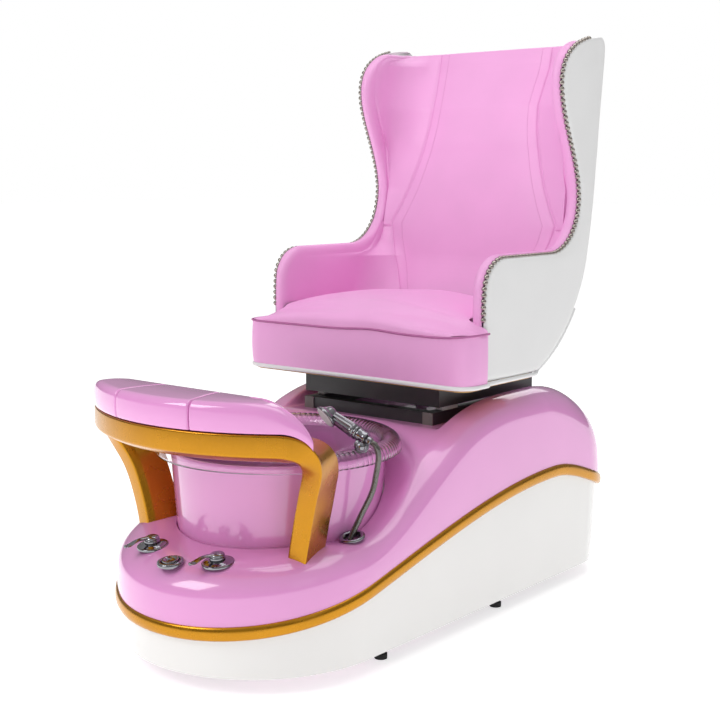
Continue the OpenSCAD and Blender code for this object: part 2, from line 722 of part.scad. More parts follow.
// Rear edge, from the top down, moved forward by d
function rear_edge(d) = concat([[588 - d, 1446], [586 - d, 1391], [558 - d, 1158], [502 - d, 872]],
    bez([502 - d, 872], [480 - d, 775], [395 - d, 660], [262 - d, seat_z + 14 + d * 0.6], 8));
module side_panel_2d(d) {
    polygon(concat(front_edge, rear_edge(d)));
}
module shell_side(side) {
    color(white) scale([side, 1, 1]) side_extrude(outer_hw - 10, outer_hw) side_panel_2d(0);
}
module shell_side_left() {
    shell_side(1);
}
module shell_side_right() {
    shell_side(-1);
}
module shell_back() {
    color(white) side_extrude(-outer_hw + 10, outer_hw - 10)
        polygon(concat(rear_edge(0), reversed(rear_edge(12))));
}
module arm_lining(side) {
    color(pink) scale([side, 1, 1]) side_extrude(inside_hw, outer_hw - 10) side_panel_2d(12);
}
module arm_lining_left() {
    arm_lining(1);
}
module arm_lining_right() {
    arm_lining(-1);
}
module back_frame() {
    color("burlywood") side_extrude(-inside_hw + 4, inside_hw - 4) difference() {
        polygon(concat(rear_edge(12), reversed(rear_edge(26))));
        square([700, 640]);
        translate([0, 1420]) square([700, 100]);
    }
}
// The inner back's front face: 78 mm in front of the shell, and thinner towards the top
inner_face = concat([[558, 1446], [541, 1371], [502, 1275]], [for (p = rear_edge(78)) if (p[1] < 1200) p]);
module back_cushion() {
    color(pink) side_extrude(-inside_hw + gap, inside_hw - gap) difference() {
        polygon(concat(rear_edge(26 + gap), reversed(inner_face)));
        square([700, 728]);
    }
}
crown_r = (ear_hw * ear_hw + crown * crown) / (2 * crown);
crown_a = asin(ear_hw / crown_r);
module seat_cushion() {
    color(pink) difference() {
        intersection() {
            translate([0, 0, seat_z + 8]) linear_extrude(300) cushion_plan();
            side_extrude(-400, 400) polygon(concat([[-200, 500], [-200, cushion_z]],
                [for (t = [0:0.125:1]) [cushion_front + 180 * t, cushion_z + crown * sin(90 * t)]],
                [[220, cushion_z + crown], [340, cushion_z + 0.6 * crown], [340, 727],
                    [600, 727], [600, 500]]));
            rotate([90, 0, 0]) translate([0, 0, -700]) linear_extrude(1000) polygon(concat(
                arc_pts(0, cushion_z + crown - crown_r, crown_r, 90 - crown_a, 90 + crown_a, 16),
                [[-ear_hw, 500], [ear_hw, 500]]));
        }
        side_extrude(-400, 400) polygon(concat(rear_edge(26 + gap),
            [[262 - 26 - gap, 500], [800, 500], [800, 1446]]));
    }
}
module cushion_plan() {
    for (s = [-1, 1]) translate([s * (ear_hw - 45), cushion_front + 45]) circle(45, $fn = 48);
    translate([-(ear_hw - 45), cushion_front]) square([2 * (ear_hw - 45), 90]);
    translate([-ear_hw, cushion_front + 45]) square([2 * ear_hw, 18 - gap - cushion_front - 45]);
    translate([-inside_hw + gap, 0]) square([2 * (inside_hw - gap), 500]);
}
module seat_plan(d) {
    for (s = [-1, 1]) translate([s * (ear_hw - 47), cushion_front + 47]) circle(45 - d, $fn = 48);
    translate([-(ear_hw - 47), cushion_front + 2 + d]) square([2 * (ear_hw - 47), 90]);
    translate([-ear_hw + 2 + d, cushion_front + 47])
        square([2 * (ear_hw - 2 - d), 16 - d - cushion_front - 47]);
    translate([-outer_hw + d, 0]) square([2 * (outer_hw - d), 246 - d]);
}
module bottom_piping() {
    color(white) translate([0, 0, seat_z]) linear_extrude(8 - gap) difference() {
        seat_plan(0);
        seat_plan(10);
    }
}
module seat_board() {
    color("burlywood") {
        translate([0, 0, seat_z - 2]) linear_extrude(2) seat_plan(14);
        translate([0, 0, seat_z]) linear_extrude(8) seat_plan(10);
        for (s = [-1, 1]) translate([s * (outer_hw - 17) - 6, 30, seat_z + 8]) cube([12, 200, 6]);
    }
}
// Nail strip on the front-facing edge of each side, from the cushion up to the top
nail_edge = [for (p = front_edge) if (p[1] > 760) p];
module nail_trim(side) {
    color([0.5, 0.47, 0.45]) scale([side, 1, 1]) side_extrude(outer_hw - 18, outer_hw - 4)
        polygon(concat(nail_edge, reversed(beside(nail_edge, -4))));
}
module nail_trim_left() {
    nail_trim(1);
}
module nail_trim_right() {
    nail_trim(-1);
}

base_skirt();
rear_access_panel();
chassis_frame();
leveling_feet();
equipment_tray();
trim_band();
top_shell();
basin_drum();
basin_bowl();
drain_flange();
drain_stopper();
drain_pipe();
jet_housing();
jet_cover();
jet_impeller();
jet_motor();
footrest_frame();
footrest_pad_left();
footrest_pad_center();
footrest_pad_right();
footrest_bolts();
hot_escutcheon();
cold_escutcheon();
hot_lever();
cold_lever();
hot_valve();
cold_valve();
button_bezel();
jet_button();
air_switch();
air_tube();
hose_grommet();
shower_hose();
shower_holder();
shower_handle();
shower_face();
mixed_water_line();
supply_lines();
water_inlets();
control_box();
power_inlet();
slide_rails();
rail_end_caps();
seat_carriage();
glide_blocks();
slide_actuator();
actuator_rod();
slide_motor();
seat_board();
bottom_piping();
seat_cushion();
shell_side_left();
shell_side_right();
shell_back();
back_frame();
arm_lining_left();
arm_lining_right();
back_cushion();
nail_trim_left();
nail_trim_right();
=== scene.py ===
# Salon foot-spa chair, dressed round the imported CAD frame. Lengths in the code are millimetres.
import math
import random

import bmesh
import bpy
import numpy as np
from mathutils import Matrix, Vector, geometry


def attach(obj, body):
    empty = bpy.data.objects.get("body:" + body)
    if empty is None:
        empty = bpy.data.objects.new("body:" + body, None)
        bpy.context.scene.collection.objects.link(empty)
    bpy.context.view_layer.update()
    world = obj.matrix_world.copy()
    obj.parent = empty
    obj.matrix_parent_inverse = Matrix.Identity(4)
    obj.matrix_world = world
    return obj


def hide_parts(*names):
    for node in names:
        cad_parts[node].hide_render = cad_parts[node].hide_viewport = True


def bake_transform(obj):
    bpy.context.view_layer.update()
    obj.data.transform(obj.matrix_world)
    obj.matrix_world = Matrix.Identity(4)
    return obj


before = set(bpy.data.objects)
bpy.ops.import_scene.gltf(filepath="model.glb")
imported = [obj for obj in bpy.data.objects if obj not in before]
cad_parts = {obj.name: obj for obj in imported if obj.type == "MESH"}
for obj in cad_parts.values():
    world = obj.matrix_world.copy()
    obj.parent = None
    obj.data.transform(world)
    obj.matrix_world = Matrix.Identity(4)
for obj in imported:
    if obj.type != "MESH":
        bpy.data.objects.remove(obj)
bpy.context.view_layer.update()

MM = 0.001
scene = bpy.context.scene
scene.view_settings.view_transform = "Standard"
pi, cos, sin, radians = math.pi, math.cos, math.sin, math.radians

# ------------------------------------------------------------------ camera
cam = bpy.data.objects.new("camera", bpy.data.cameras.new("camera"))
scene.collection.objects.link(cam)
cam.location = (2.0520, -2.53365, 1.0925)
cam.rotation_euler = (radians(81.954), 0, radians(39.383))
cam.data.lens, cam.data.sensor_width = 65.43, 36
cam.data.clip_start, cam.data.clip_end = 0.05, 200
scene.camera = cam


# ------------------------------------------------------------------ mesh helpers
def arr(*v):
    return np.array(v, float)


def unit(v):
    v = np.asarray(v, float)
    return v / np.linalg.norm(v)


def smooth(t):
    t = np.clip(t, 0, 1)
    return t * t * (3 - 2 * t)


def circle(n):
    """Angles in n even steps round a turn."""
    return [2 * pi * k / n for k in range(n)]


def ring_edges(start, n):
    """Edges of a closed ring of n points that are numbered from start."""
    return [(start + i, start + (i + 1) % n) for i in range(n)]


def triangulated(pts, edges):
    """Points in a plane joined into triangles, with the given edges kept: the points and the faces."""
    res = geometry.delaunay_2d_cdt([Vector(p) for p in pts], edges, [], 1, 1e-4)
    return np.array([tuple(v) for v in res[0]]), res[2]


def drop(t):
    """How far a quarter round of unit radius has dropped, t from its top."""
    return 1 - math.sqrt(max(0, 1 - t ** 2))


def side_name(side):
    """The sitter's side that a sign of X stands for."""
    return "left" if side > 0 else "right"


def piece(name, verts, faces, mat, body, stands_for=(), slot=None, sharp=40, weld=0.0, subdivide=0):
    """Makes a mesh piece from points in millimetres, and ties it to its body."""
    me = bpy.data.meshes.new(name)
    me.from_pydata((np.asarray(verts, float) * MM).tolist(), [], [[int(i) for i in f] for f in faces])
    bm = bmesh.new()
    bm.from_mesh(me)
    if weld:
        bmesh.ops.remove_doubles(bm, verts=bm.verts, dist=weld * MM)
    bmesh.ops.recalc_face_normals(bm, faces=bm.faces)
    bm.to_mesh(me)
    bm.free()
    me.polygons.foreach_set("use_smooth", [True] * len(me.polygons))
    if sharp:
        me.set_sharp_from_angle(angle=radians(sharp))
    me.materials.append(mat)
    ob = bpy.data.objects.new(name, me)
    scene.collection.objects.link(ob)
    if subdivide:
        mod = ob.modifiers.new("smooth", "SUBSURF")
        mod.levels = mod.render_levels = subdivide
    if body:
        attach(ob, body)
    if stands_for:
        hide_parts(*stands_for)
    return ob


def grid_faces(rows, cols, wrap_rows=False, wrap_cols=False):
    """Quads of a grid of points numbered row by row."""
    out = []
    for j in range(rows if wrap_rows else rows - 1):
        for i in range(cols if wrap_cols else cols - 1):
            a, b = j * cols + i, j * cols + (i + 1) % cols
            c, d = (j + 1) % rows * cols + (i + 1) % cols, (j + 1) % rows * cols + i
            out.append([a, b, c, d])
    return out


def loft(sections, closed=True, caps=True, ring=False):
    """Points and faces through equal sections.

    closed says each section is a loop, and ring says the last joins the first.
    """
    s = np.asarray(sections, float)
    n, m = s.shape[:2]
    faces = grid_faces(n, m, wrap_rows=ring, wrap_cols=closed)
    if caps and closed and not ring:
        faces.append(list(range(m - 1, -1, -1)))
        faces.append([(n - 1) * m + i for i in range(m)])
    return s.reshape(-1, 3), faces


def join_parts(parts):
    """Stacks several (points, faces) pairs into one."""
    verts, faces, at = [], [], 0
    for v, f in parts:
        verts.append(np.asarray(v, float))
        faces += [[i + at for i in q] for q in f]
        at += len(v)
    return np.vstack(verts), faces


def revolve(profile, n=64, origin=(0, 0, 0), turn=None, bump=None):
    """Turns an [r, z] profile about Z; bump(angle, r, z) may change a radius; turn is a 3x3 matrix."""
    v = []
    for r, z in profile:
        for k in range(n):
            a = 2 * pi * k / n
            q = bump(a, r, z) if bump else r
            v.append((q * cos(a), q * sin(a), z))
    v = np.array(v)
    if turn is not None:
        v = v @ np.asarray(turn).T
    return v + np.asarray(origin, float), grid_faces(len(profile), n, wrap_cols=True)


def closed_revolve(profile, n=64, origin=(0, 0, 0), turn=None, bump=None):
    """A revolved profile with flat caps on both ends."""
    v, f = revolve(profile, n, origin, turn, bump)
    f.append(list(range(n - 1, -1, -1)))
    f.append([(len(profile) - 1) * n + i for i in range(n)])
    return v, f


def path_frames(path):
    """Tangents and a twist-free pair of side vectors along a path."""
    p = np.asarray(path, float)
    t = np.gradient(p, axis=0)
    t /= np.linalg.norm(t, axis=1)[:, None]
    ref = arr(1, 0, 0) if abs(t[0][0]) < 0.9 else arr(0, 1, 0)
    a = [unit(np.cross(t[0], ref))]
    for i in range(1, len(p)):
        v = a[-1] - t[i] * (a[-1] @ t[i])
        a.append(unit(v))
    a = np.array(a)
    return t, a, np.cross(t, a)


def tube(path, r, n=12):
    """A round tube along a path; r is one radius or one for each point."""
    p = np.asarray(path, float)
    rr = np.broadcast_to(np.asarray(r, float), (len(p),))
    _, a, b = path_frames(p)
    ang = np.arange(n) * 2 * pi / n
    s = p[:, None] + rr[:, None, None] * (np.cos(ang)[None, :, None] * a[:, None] + np.sin(ang)[None, :,
            None] * b[:, None])
    return loft(s)


def catmull(points, n):
    """Smooth curve through points, with n steps between each pair."""
    p = np.asarray(points, float)
    p = np.vstack([2 * p[0] - p[1], p, 2 * p[-1] - p[-2]])
    out = []
    for i in range(1, len(p) - 2):
        for k in range(n):
            t = k / n
            out.append(0.5 * ((2 * p[i]) + (p[i + 1] - p[i - 1]) * t
                              + (2 * p[i - 1] - 5 * p[i] + 4 * p[i + 1] - p[i + 2]) * t * t
                              + (3 * p[i] - p[i - 1] - 3 * p[i + 1] + p[i + 2]) * t ** 3))
    out.append(p[-2])
    return np.array(out)


def resample(path, step=None, count=None):
    """The same path with points equally far apart."""
    p = np.asarray(path, float)
    s = np.concatenate([[0], np.cumsum(np.linalg.norm(np.diff(p, axis=0), axis=1))])
    n = count or max(2, int(round(s[-1] / step)) + 1)
    q = np.linspace(0, s[-1], n)
    return np.stack([np.interp(q, s, p[:, k]) for k in range(p.shape[1])], 1)


def rounded(poly, radii, n=4):
    """A 2D polygon with each corner replaced by an arc-like curve."""
    out, m = [], len(poly)
    for i in range(m):
        a, b, c = arr(*poly[i - 1]), arr(*poly[i]), arr(*poly[(i + 1) % m])
        r = radii[i] if hasattr(radii, "__len__") else radii
        u, v = unit(a - b), unit(c - b)
        d = min(r, 0.45 * np.linalg.norm(a - b), 0.45 * np.linalg.norm(c - b))
        for k in range(n + 1):
            t = k / n
            out.append((1 - t) ** 2 * (b + u * d) + 2 * t * (1 - t) * b + t * t * (b + v * d))
    return np.array(out)


# ------------------------------------------------------------------ materials
def nodes_of(name):
    m = bpy.data.materials.new(name)
    m.use_nodes = True
    return m, m.node_tree.nodes, m.node_tree.links, m.node_tree.nodes["Principled BSDF"]


def srgb(h):
    c = [int(h[i:i + 2], 16) / 255 for i in (0, 2, 4)]
    return [x / 12.92 if x <= 0.04045 else ((x + 0.055) / 1.055) ** 2.4 for x in c]


def material(name, colour, rough=0.3, metal=0.0, coat=0.0, coat_rough=0.04, vary=0.05, vary_scale=5.0,
             rough_vary=0.06, rough_scale=14.0, bumps=(), ior=1.5, sheen=0.0, trans=0.0, wear=None, hollow_shade=0.0,
             flake=0.0):
    """A procedural finish: colour and roughness wander gently, colour darkens in hollows as painted shade,
    and bumps are (kind, scale, height in mm).
    """
    m, n, l, p = nodes_of(name)
    c = srgb(colour) if isinstance(colour, str) else list(colour)
    tc = n.new("ShaderNodeTexCoord")
    p.inputs["Metallic"].default_value = metal
    p.inputs["Coat Weight"].default_value = coat
    p.inputs["Coat Roughness"].default_value = coat_rough
    p.inputs["IOR"].default_value = ior
    p.inputs["Sheen Weight"].default_value = sheen
    p.inputs["Transmission Weight"].default_value = trans

    def noise(scale, detail=3.0):
        t = n.new("ShaderNodeTexNoise")
        t.inputs["Scale"].default_value = scale
        t.inputs["Detail"].default_value = detail
        l.new(tc.outputs["Object"], t.inputs["Vector"])
        return t.outputs["Fac"]

    def ramp(src, a, b, lo=0.3, hi=0.7):
        r = n.new("ShaderNodeMapRange")
        r.inputs["From Min"].default_value, r.inputs["From Max"].default_value = lo, hi
        r.inputs["To Min"].default_value, r.inputs["To Max"].default_value = a, b
        l.new(src, r.inputs["Value"])
        return r.outputs["Result"]

    def mix(fac, a, b):
        x = n.new("ShaderNodeMix")
        x.data_type = "RGBA"
        l.new(fac, x.inputs["Factor"])
        for key, v in (("A", a), ("B", b)):
            sock = next(s for s in x.inputs if s.name == key and s.type == "RGBA")
            if isinstance(v, (list, tuple)):
                sock.default_value = (*v[:3], 1)
            else:
                l.new(v, sock)
        return next(s for s in x.outputs if s.type == "RGBA")

    lo = [x * (1 - vary) for x in c]
    hi = [min(1, x * (1 + vary * 0.6)) for x in c]
    base = mix(ramp(noise(vary_scale), 0, 1), lo, hi)
    if flake:
        v = n.new("ShaderNodeTexVoronoi")
        v.inputs["Scale"].default_value = 900
        l.new(tc.outputs["Object"], v.inputs["Vector"])
        base = mix(ramp(v.outputs["Distance"], flake, 0.0, 0.1, 0.6), base,
                   [min(1, x * 1.7 + 0.02) for x in c])
    if wear or hollow_shade:
        g = n.new("ShaderNodeNewGeometry")
        if wear:
            base = mix(ramp(g.outputs["Pointiness"], 0, 0.5, 0.52, 0.60), base, srgb(wear))
        # Darkening where the surface curves inwards: painted shade in grooves, creases and between strands.
        if hollow_shade:
            base = mix(ramp(g.outputs["Pointiness"], hollow_shade, 0, 0.40, 0.49), base, [x * 0.35 for x in c])
    l.new(base, p.inputs["Base Color"])
    l.new(ramp(noise(rough_scale, 4), max(0.02, rough - rough_vary), rough + rough_vary),
          p.inputs["Roughness"])
    last = None
    for kind, scale, height in bumps:
        b = n.new("ShaderNodeBump")
        b.inputs["Distance"].default_value = height * MM
        b.inputs["Strength"].default_value = 1.0
        if kind == "noise":
            src = noise(scale, 2)
        else:
            v = n.new("ShaderNodeTexVoronoi")
            v.feature = "SMOOTH_F1" if kind == "cells" else "F1"
            v.inputs["Scale"].default_value = scale
            l.new(tc.outputs["Object"], v.inputs["Vector"])
            src = v.outputs["Distance"]
        l.new(src, b.inputs["Height"])
        if last:
            l.new(last, b.inputs["Normal"])
        last = b.outputs["Normal"]
    if last:
        l.new(last, p.inputs["Normal"])
    return m


PINK, PINK_SOFT = "ee9fdc", "f6afe4"
gel_pink = material("pink_gelcoat", PINK, 0.16, coat=0.9, coat_rough=0.03, vary=0.035, vary_scale=3,
                    rough_vary=0.04,
                    bumps=[("noise", 9, 0.05), ("noise", 420, 0.004)])
gel_white = material("white_gelcoat", "efeeec", 0.20, coat=0.8, coat_rough=0.04, vary=0.02, vary_scale=3,
                     bumps=[("noise", 8, 0.06), ("noise", 420, 0.004)])
vinyl_pink = material("pink_vinyl", PINK_SOFT, 0.42, vary=0.03, vary_scale=7, sheen=0.08, rough_vary=0.05,
                      bumps=[("noise", 16, 0.35), ("cells", 900, 0.05), ("noise", 2400, 0.012)])
vinyl_white = material("white_vinyl", "eeeeee", 0.45, vary=0.015, vary_scale=7, rough_vary=0.05,
                       bumps=[("noise", 14, 0.25), ("cells", 900, 0.05), ("noise", 2400, 0.012)])
# The welt cord is the cushion's pink vinyl made darker: painted shade of the seam it lies in.
welt_pink_shaded = material("pink_welt_shaded", "b8689f", 0.45, vary=0.06, vary_scale=60, bumps=[("cells", 900, 0.05)])
thread_pink = material("pink_thread", "dd8fc6", 0.6, vary=0.08, vary_scale=200, bumps=[("noise", 3000, 0.03)])
gold_lacquer = material("gold_lacquer", "bd8210", 0.28, metal=0.95, coat=0.3, coat_rough=0.12, vary=0.06,
                        vary_scale=6,
                        flake=0.3, rough_vary=0.05, bumps=[("noise", 300, 0.006)])
acrylic = material("clear_acrylic", "fbf3fa", 0.04, trans=1.0, ior=1.42, vary=0.01, rough_vary=0.02,
                   bumps=[("noise", 30, 0.05)])
# Chrome, fluted chrome and steel wire darken in their grooves and between strands: painted shade.
chrome = material("chrome", "8e8e93", 0.07, metal=1.0, vary=0.04, vary_scale=30, rough_vary=0.04,
                  rough_scale=60,
                  bumps=[("noise", 120, 0.01)], hollow_shade=0.25)
chrome_fluted = material("chrome_fluted", "8a898d", 0.09, metal=1.0, vary=0.04, vary_scale=30,
                         rough_vary=0.03,
                         rough_scale=60, hollow_shade=0.95)
steel_wire = material("steel_wire", "807d7a", 0.24, metal=1.0, vary=0.15, vary_scale=150, rough_vary=0.06,
                      bumps=[("noise", 1500, 0.02)], hollow_shade=0.9)
nail_metal = material("antique_nickel", "a79f98", 0.20, metal=1.0, vary=0.18, vary_scale=120,
                      rough_vary=0.08, hollow_shade=0.6,
                      bumps=[("noise", 700, 0.03)])
black_coat = material("black_powder_coat", "141316", 0.42, coat=0.15, coat_rough=0.3, vary=0.25,
                      vary_scale=25,
                      bumps=[("noise", 1300, 0.05)], wear="3a383b")
black_rubber = material("black_rubber", "1b1b1c", 0.75, vary=0.2, vary_scale=40, bumps=[("noise", 500, 0.08)])
black_plastic = material("black_plastic", "1a1a1c", 0.5, vary=0.15, vary_scale=30,
                         bumps=[("noise", 1600, 0.03)])
grey_plastic = material("grey_plastic", "6e6865", 0.55, vary=0.1, vary_scale=30,
                        bumps=[("noise", 1600, 0.04)])
white_plastic = material("white_plastic", "e6e4e2", 0.35, vary=0.03, vary_scale=20,
                         bumps=[("noise", 900, 0.01)])
zinc_steel = material("zinc_steel", "9a9c9f", 0.35, metal=1.0, vary=0.2, vary_scale=40,
                      bumps=[("voronoi", 220, 0.02)])
brass = material("machined_brass", "c8a050", 0.28, metal=1.0, vary=0.12, vary_scale=40,
                 bumps=[("noise", 900, 0.02)])
plywood = material("birch_plywood", "c9a36e", 0.6, vary=0.2, vary_scale=12, bumps=[("noise", 60, 0.2)])
# Near-black finish for the gap under the footrest pads: painted shade.
dark_gap = material("shadow_gap", "140d12", 0.8, vary=0.2, vary_scale=30, bumps=[("noise", 500, 0.05)])

by_node = {
    gel_white: ["rear_access_panel"],
    black_coat: ["chassis_frame", "slide_rails", "seat_carriage"],
    black_rubber: ["leveling_feet", "air_tube"],
    zinc_steel: ["equipment_tray", "slide_actuator", "jet_impeller"],
    grey_plastic: ["rail_end_caps", "drain_pipe", "control_box"],
    black_plastic: ["jet_motor", "air_switch", "power_inlet", "slide_motor"],
    white_plastic: ["jet_housing", "jet_cover", "glide_blocks", "mixed_water_line"],
    chrome: ["drain_flange", "drain_stopper", "footrest_bolts", "actuator_rod"],
    steel_wire: ["supply_lines"],
    brass: ["hot_valve", "cold_valve", "water_inlets"],
    plywood: ["seat_board", "back_frame"],
}
for mat, names in by_node.items():
    for nm in names:
        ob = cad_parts[nm]
        for s in ob.material_slots:
            s.material = mat
        if not ob.material_slots:
            ob.data.materials.append(mat)

# ------------------------------------------------------------------ hose, up to the hand shower
HOSE = [(290.2, -346.7, 512.9), (297, -345.5, 509.5), (303, -342.5, 497), (304, -340, 479), (300, -339, 458),
        (297, -341, 438), (294, -344, 415), (288, -349, 392), (280, -354, 372), (272, -360, 352),
        (267, -366, 335),
        (263, -373, 320), (261, -380, 305), (260, -386, 290), (259, -392, 275), (258, -396, 260),
        (258, -399, 246),
        (258, -400, 237.5)]
HOSE_R, HOSE_STEP = 7.0, 2.2


def braided_hose():
    """A dark liner with steel strands plaited over and under each other."""
    line = resample(catmull(HOSE[::-1], 8), step=HOSE_STEP)
    parts = [tube(line, HOSE_R - 1.3, 16)]
    _, a, b = path_frames(line)
    dist = np.arange(len(line)) * HOSE_STEP
    strands, pitch = 12, 34.0
    for way in (1, -1):
        for k in range(strands):
            ang = way * (2 * pi * dist / pitch) + 2 * pi * k / strands
            weave = np.cos(strands * way * ang + (0 if way > 0 else pi) + 2 * pi * dist / pitch * strands)
            r = HOSE_R - 0.75 + 0.30 * np.where(way > 0, weave, -weave)
            sec = []
            for w, h in ((-1.25, 0), (-0.8, 0.42), (0.8, 0.42), (1.25, 0), (0, -0.3)):
                q = ang + w / HOSE_R
                sec.append(line + ((r + h) * np.cos(q))[:, None] * a + ((r + h) * np.sin(q))[:, None] * b)
            parts.append(loft(np.stack(sec, 1)))
    v, f = join_parts(parts)
    ob = piece("shower_hose_braid", v, f, steel_wire, None, slot="braid", sharp=50)
    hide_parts("shower_hose")
    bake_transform(ob)
    return ob


braided_hose()

# ------------------------------------------------------------------ base: outline and heights
NOSE_Y, REAR_Y, SHELL_HW, REAR_R = -393.0, 731.0, 332.0, 190.0
BASIN_Y = -333.0
TILT = radians(8)


def outline(hw, nose=56, side=90, corner=30, rear=14):
    """Plan outline at half width hw: half of it from the nose round +X to the rear, then its mirror."""
    r, y1 = REAR_R - (SHELL_HW - hw), REAR_Y - REAR_R
    p = [(hw * sin(pi / 2 * i / nose), NOSE_Y - hw * cos(pi / 2 * i / nose)) for i in range(nose)]
    p += [(hw, NOSE_Y + (y1 - NOSE_Y) * i / side) for i in range(side)]
    p += [(hw - r + r * cos(pi / 2 * i / corner), y1 + r * sin(pi / 2 * i / corner)) for i in range(corner)]
    p += [((hw - r) * (1 - i / rear), y1 + r) for i in range(rear + 1)]
    return np.array(p + [(-x, y) for x, y in p[-2:0:-1]])


def outlines(hws):
    """Outline points where each point has its own half width."""
    a, b = outline(300.0), outline(301.0)
    return a + (b - a) * (np.asarray(hws, float) - 300)[:, None]


def inside_by(x, y):
    """How far a plan point lies inside the shell's outline."""
    nose = SHELL_HW - np.hypot(x, y - NOSE_Y)
    side = SHELL_HW - np.abs(x)
    cy = REAR_Y - REAR_R
    cx = np.maximum(np.abs(x) - (SHELL_HW - REAR_R), 0)
    rear = REAR_R - np.hypot(cx, np.maximum(y - cy, 0))
    return np.where(y < NOSE_Y, nose, np.where(y < cy, side, rear))


def deck_z(y):
    return 272 + (y + 660) * math.tan(TILT)


CURVE_Y, RIDGE_Y, RIDGE_Z = -450, 336, 547  # foot and top of the shoulders' S-curve
LEDGE_Z, CHANNEL_Z = 452, 490  # highest level beside the basin, and between the shoulders
CHANNEL_Y = -60  # the mesh follows the channel's edges behind this line


def ridge_z(y):
    """Height along the middle of the shoulders: sloped deck, S-curve, rounded rear."""
    y = np.asarray(y, float)
    t = np.clip((y - CURVE_Y) / (RIDGE_Y - CURVE_Y), 0, 1)
    s = smooth(np.sin(pi / 2 * t) ** 1.15)
    foot = deck_z(CURVE_Y)
    z = np.where(y <= CURVE_Y, deck_z(y), foot + (RIDGE_Z - foot) * s)
    q = np.clip((y - RIDGE_Y) / 399, 0, 1)
    return np.where(y > RIDGE_Y, 260 + 287 * (1 - q * q) ** 0.58, z)


def top_z(x, y):
    """The shell's upper surface before its outer edge is rounded over."""
    x, y = np.asarray(x, float), np.asarray(y, float)
    r = np.hypot(x, y - BASIN_Y)
    dip = np.interp(y, [-560, -440, -330, -230, -180, -100], [0, 6, 20, 27, 36, 50])
    z = ridge_z(y) - dip * smooth((322 - r) / 74)
    low = np.minimum(z, LEDGE_Z)
    z = z + (low - z) * smooth((299 - r) / 12)
    flat = np.minimum(z, CHANNEL_Z)
    return z + (flat - z) * smooth((253 - np.abs(x)) / 16) * (y > -140)


def trim_z(y):
    t = (y + 725) / 1085
    up = 135 + 195 * (0.45 * np.sin(pi / 2 * np.clip(t, 0, 1)) + 0.55 * smooth(t))
    return np.where(y > 360, 330 - 94 * smooth((y - 360) / 401), up)


# Width and height of the shell's rounded outer edge, at places along Y
EDGE_Y = [-725, -400, -120, 0, 330, 560, 650, 731]


def edge_w(y):
    return np.interp(y, EDGE_Y, [84, 84, 66, 58, 66, 104, 84, 60])


def edge_h(y):
    return np.interp(y, EDGE_Y, [58, 58, 56, 55, 64, 128, 140, 40])


base_line = outline(SHELL_HW)
by = base_line[:, 1]
TRIM_LINE = trim_z(by)


def shell_rings():
    w, h = edge_w(by), edge_h(by)
    rings = []
    angles = np.linspace(0, pi / 2, 17)
    first = None
    for a in angles:
        d = w * (1 - np.cos(a))
        p = outlines(SHELL_HW - d)
        z = top_z(p[:, 0], p[:, 1]) - h * (1 - np.sin(a))
        if first is None:
            first = z
        rings.append(np.column_stack([p, z]))
    wall = []
    for k in range(7):
        t = k / 7
        z = (TRIM_LINE + 4) * (1 - t) + first * t
        wall.append(np.column_stack([outlines(SHELL_HW + 1.5 * np.sin(pi * t) * np.ones(len(by))), z]))
    return wall + rings


def drum_radius(z):
    return 236 + 16 * (z - 255) / 215


GROMMET, HOSE_HOLE_R = arr(265, -384, 303), 19
DRUM_RIM_R = 246


def from_basin(x, y):
    return math.hypot(x, y - BASIN_Y)


def from_grommet(x, y):
    return math.hypot(x - GROMMET[0], y - GROMMET[1])


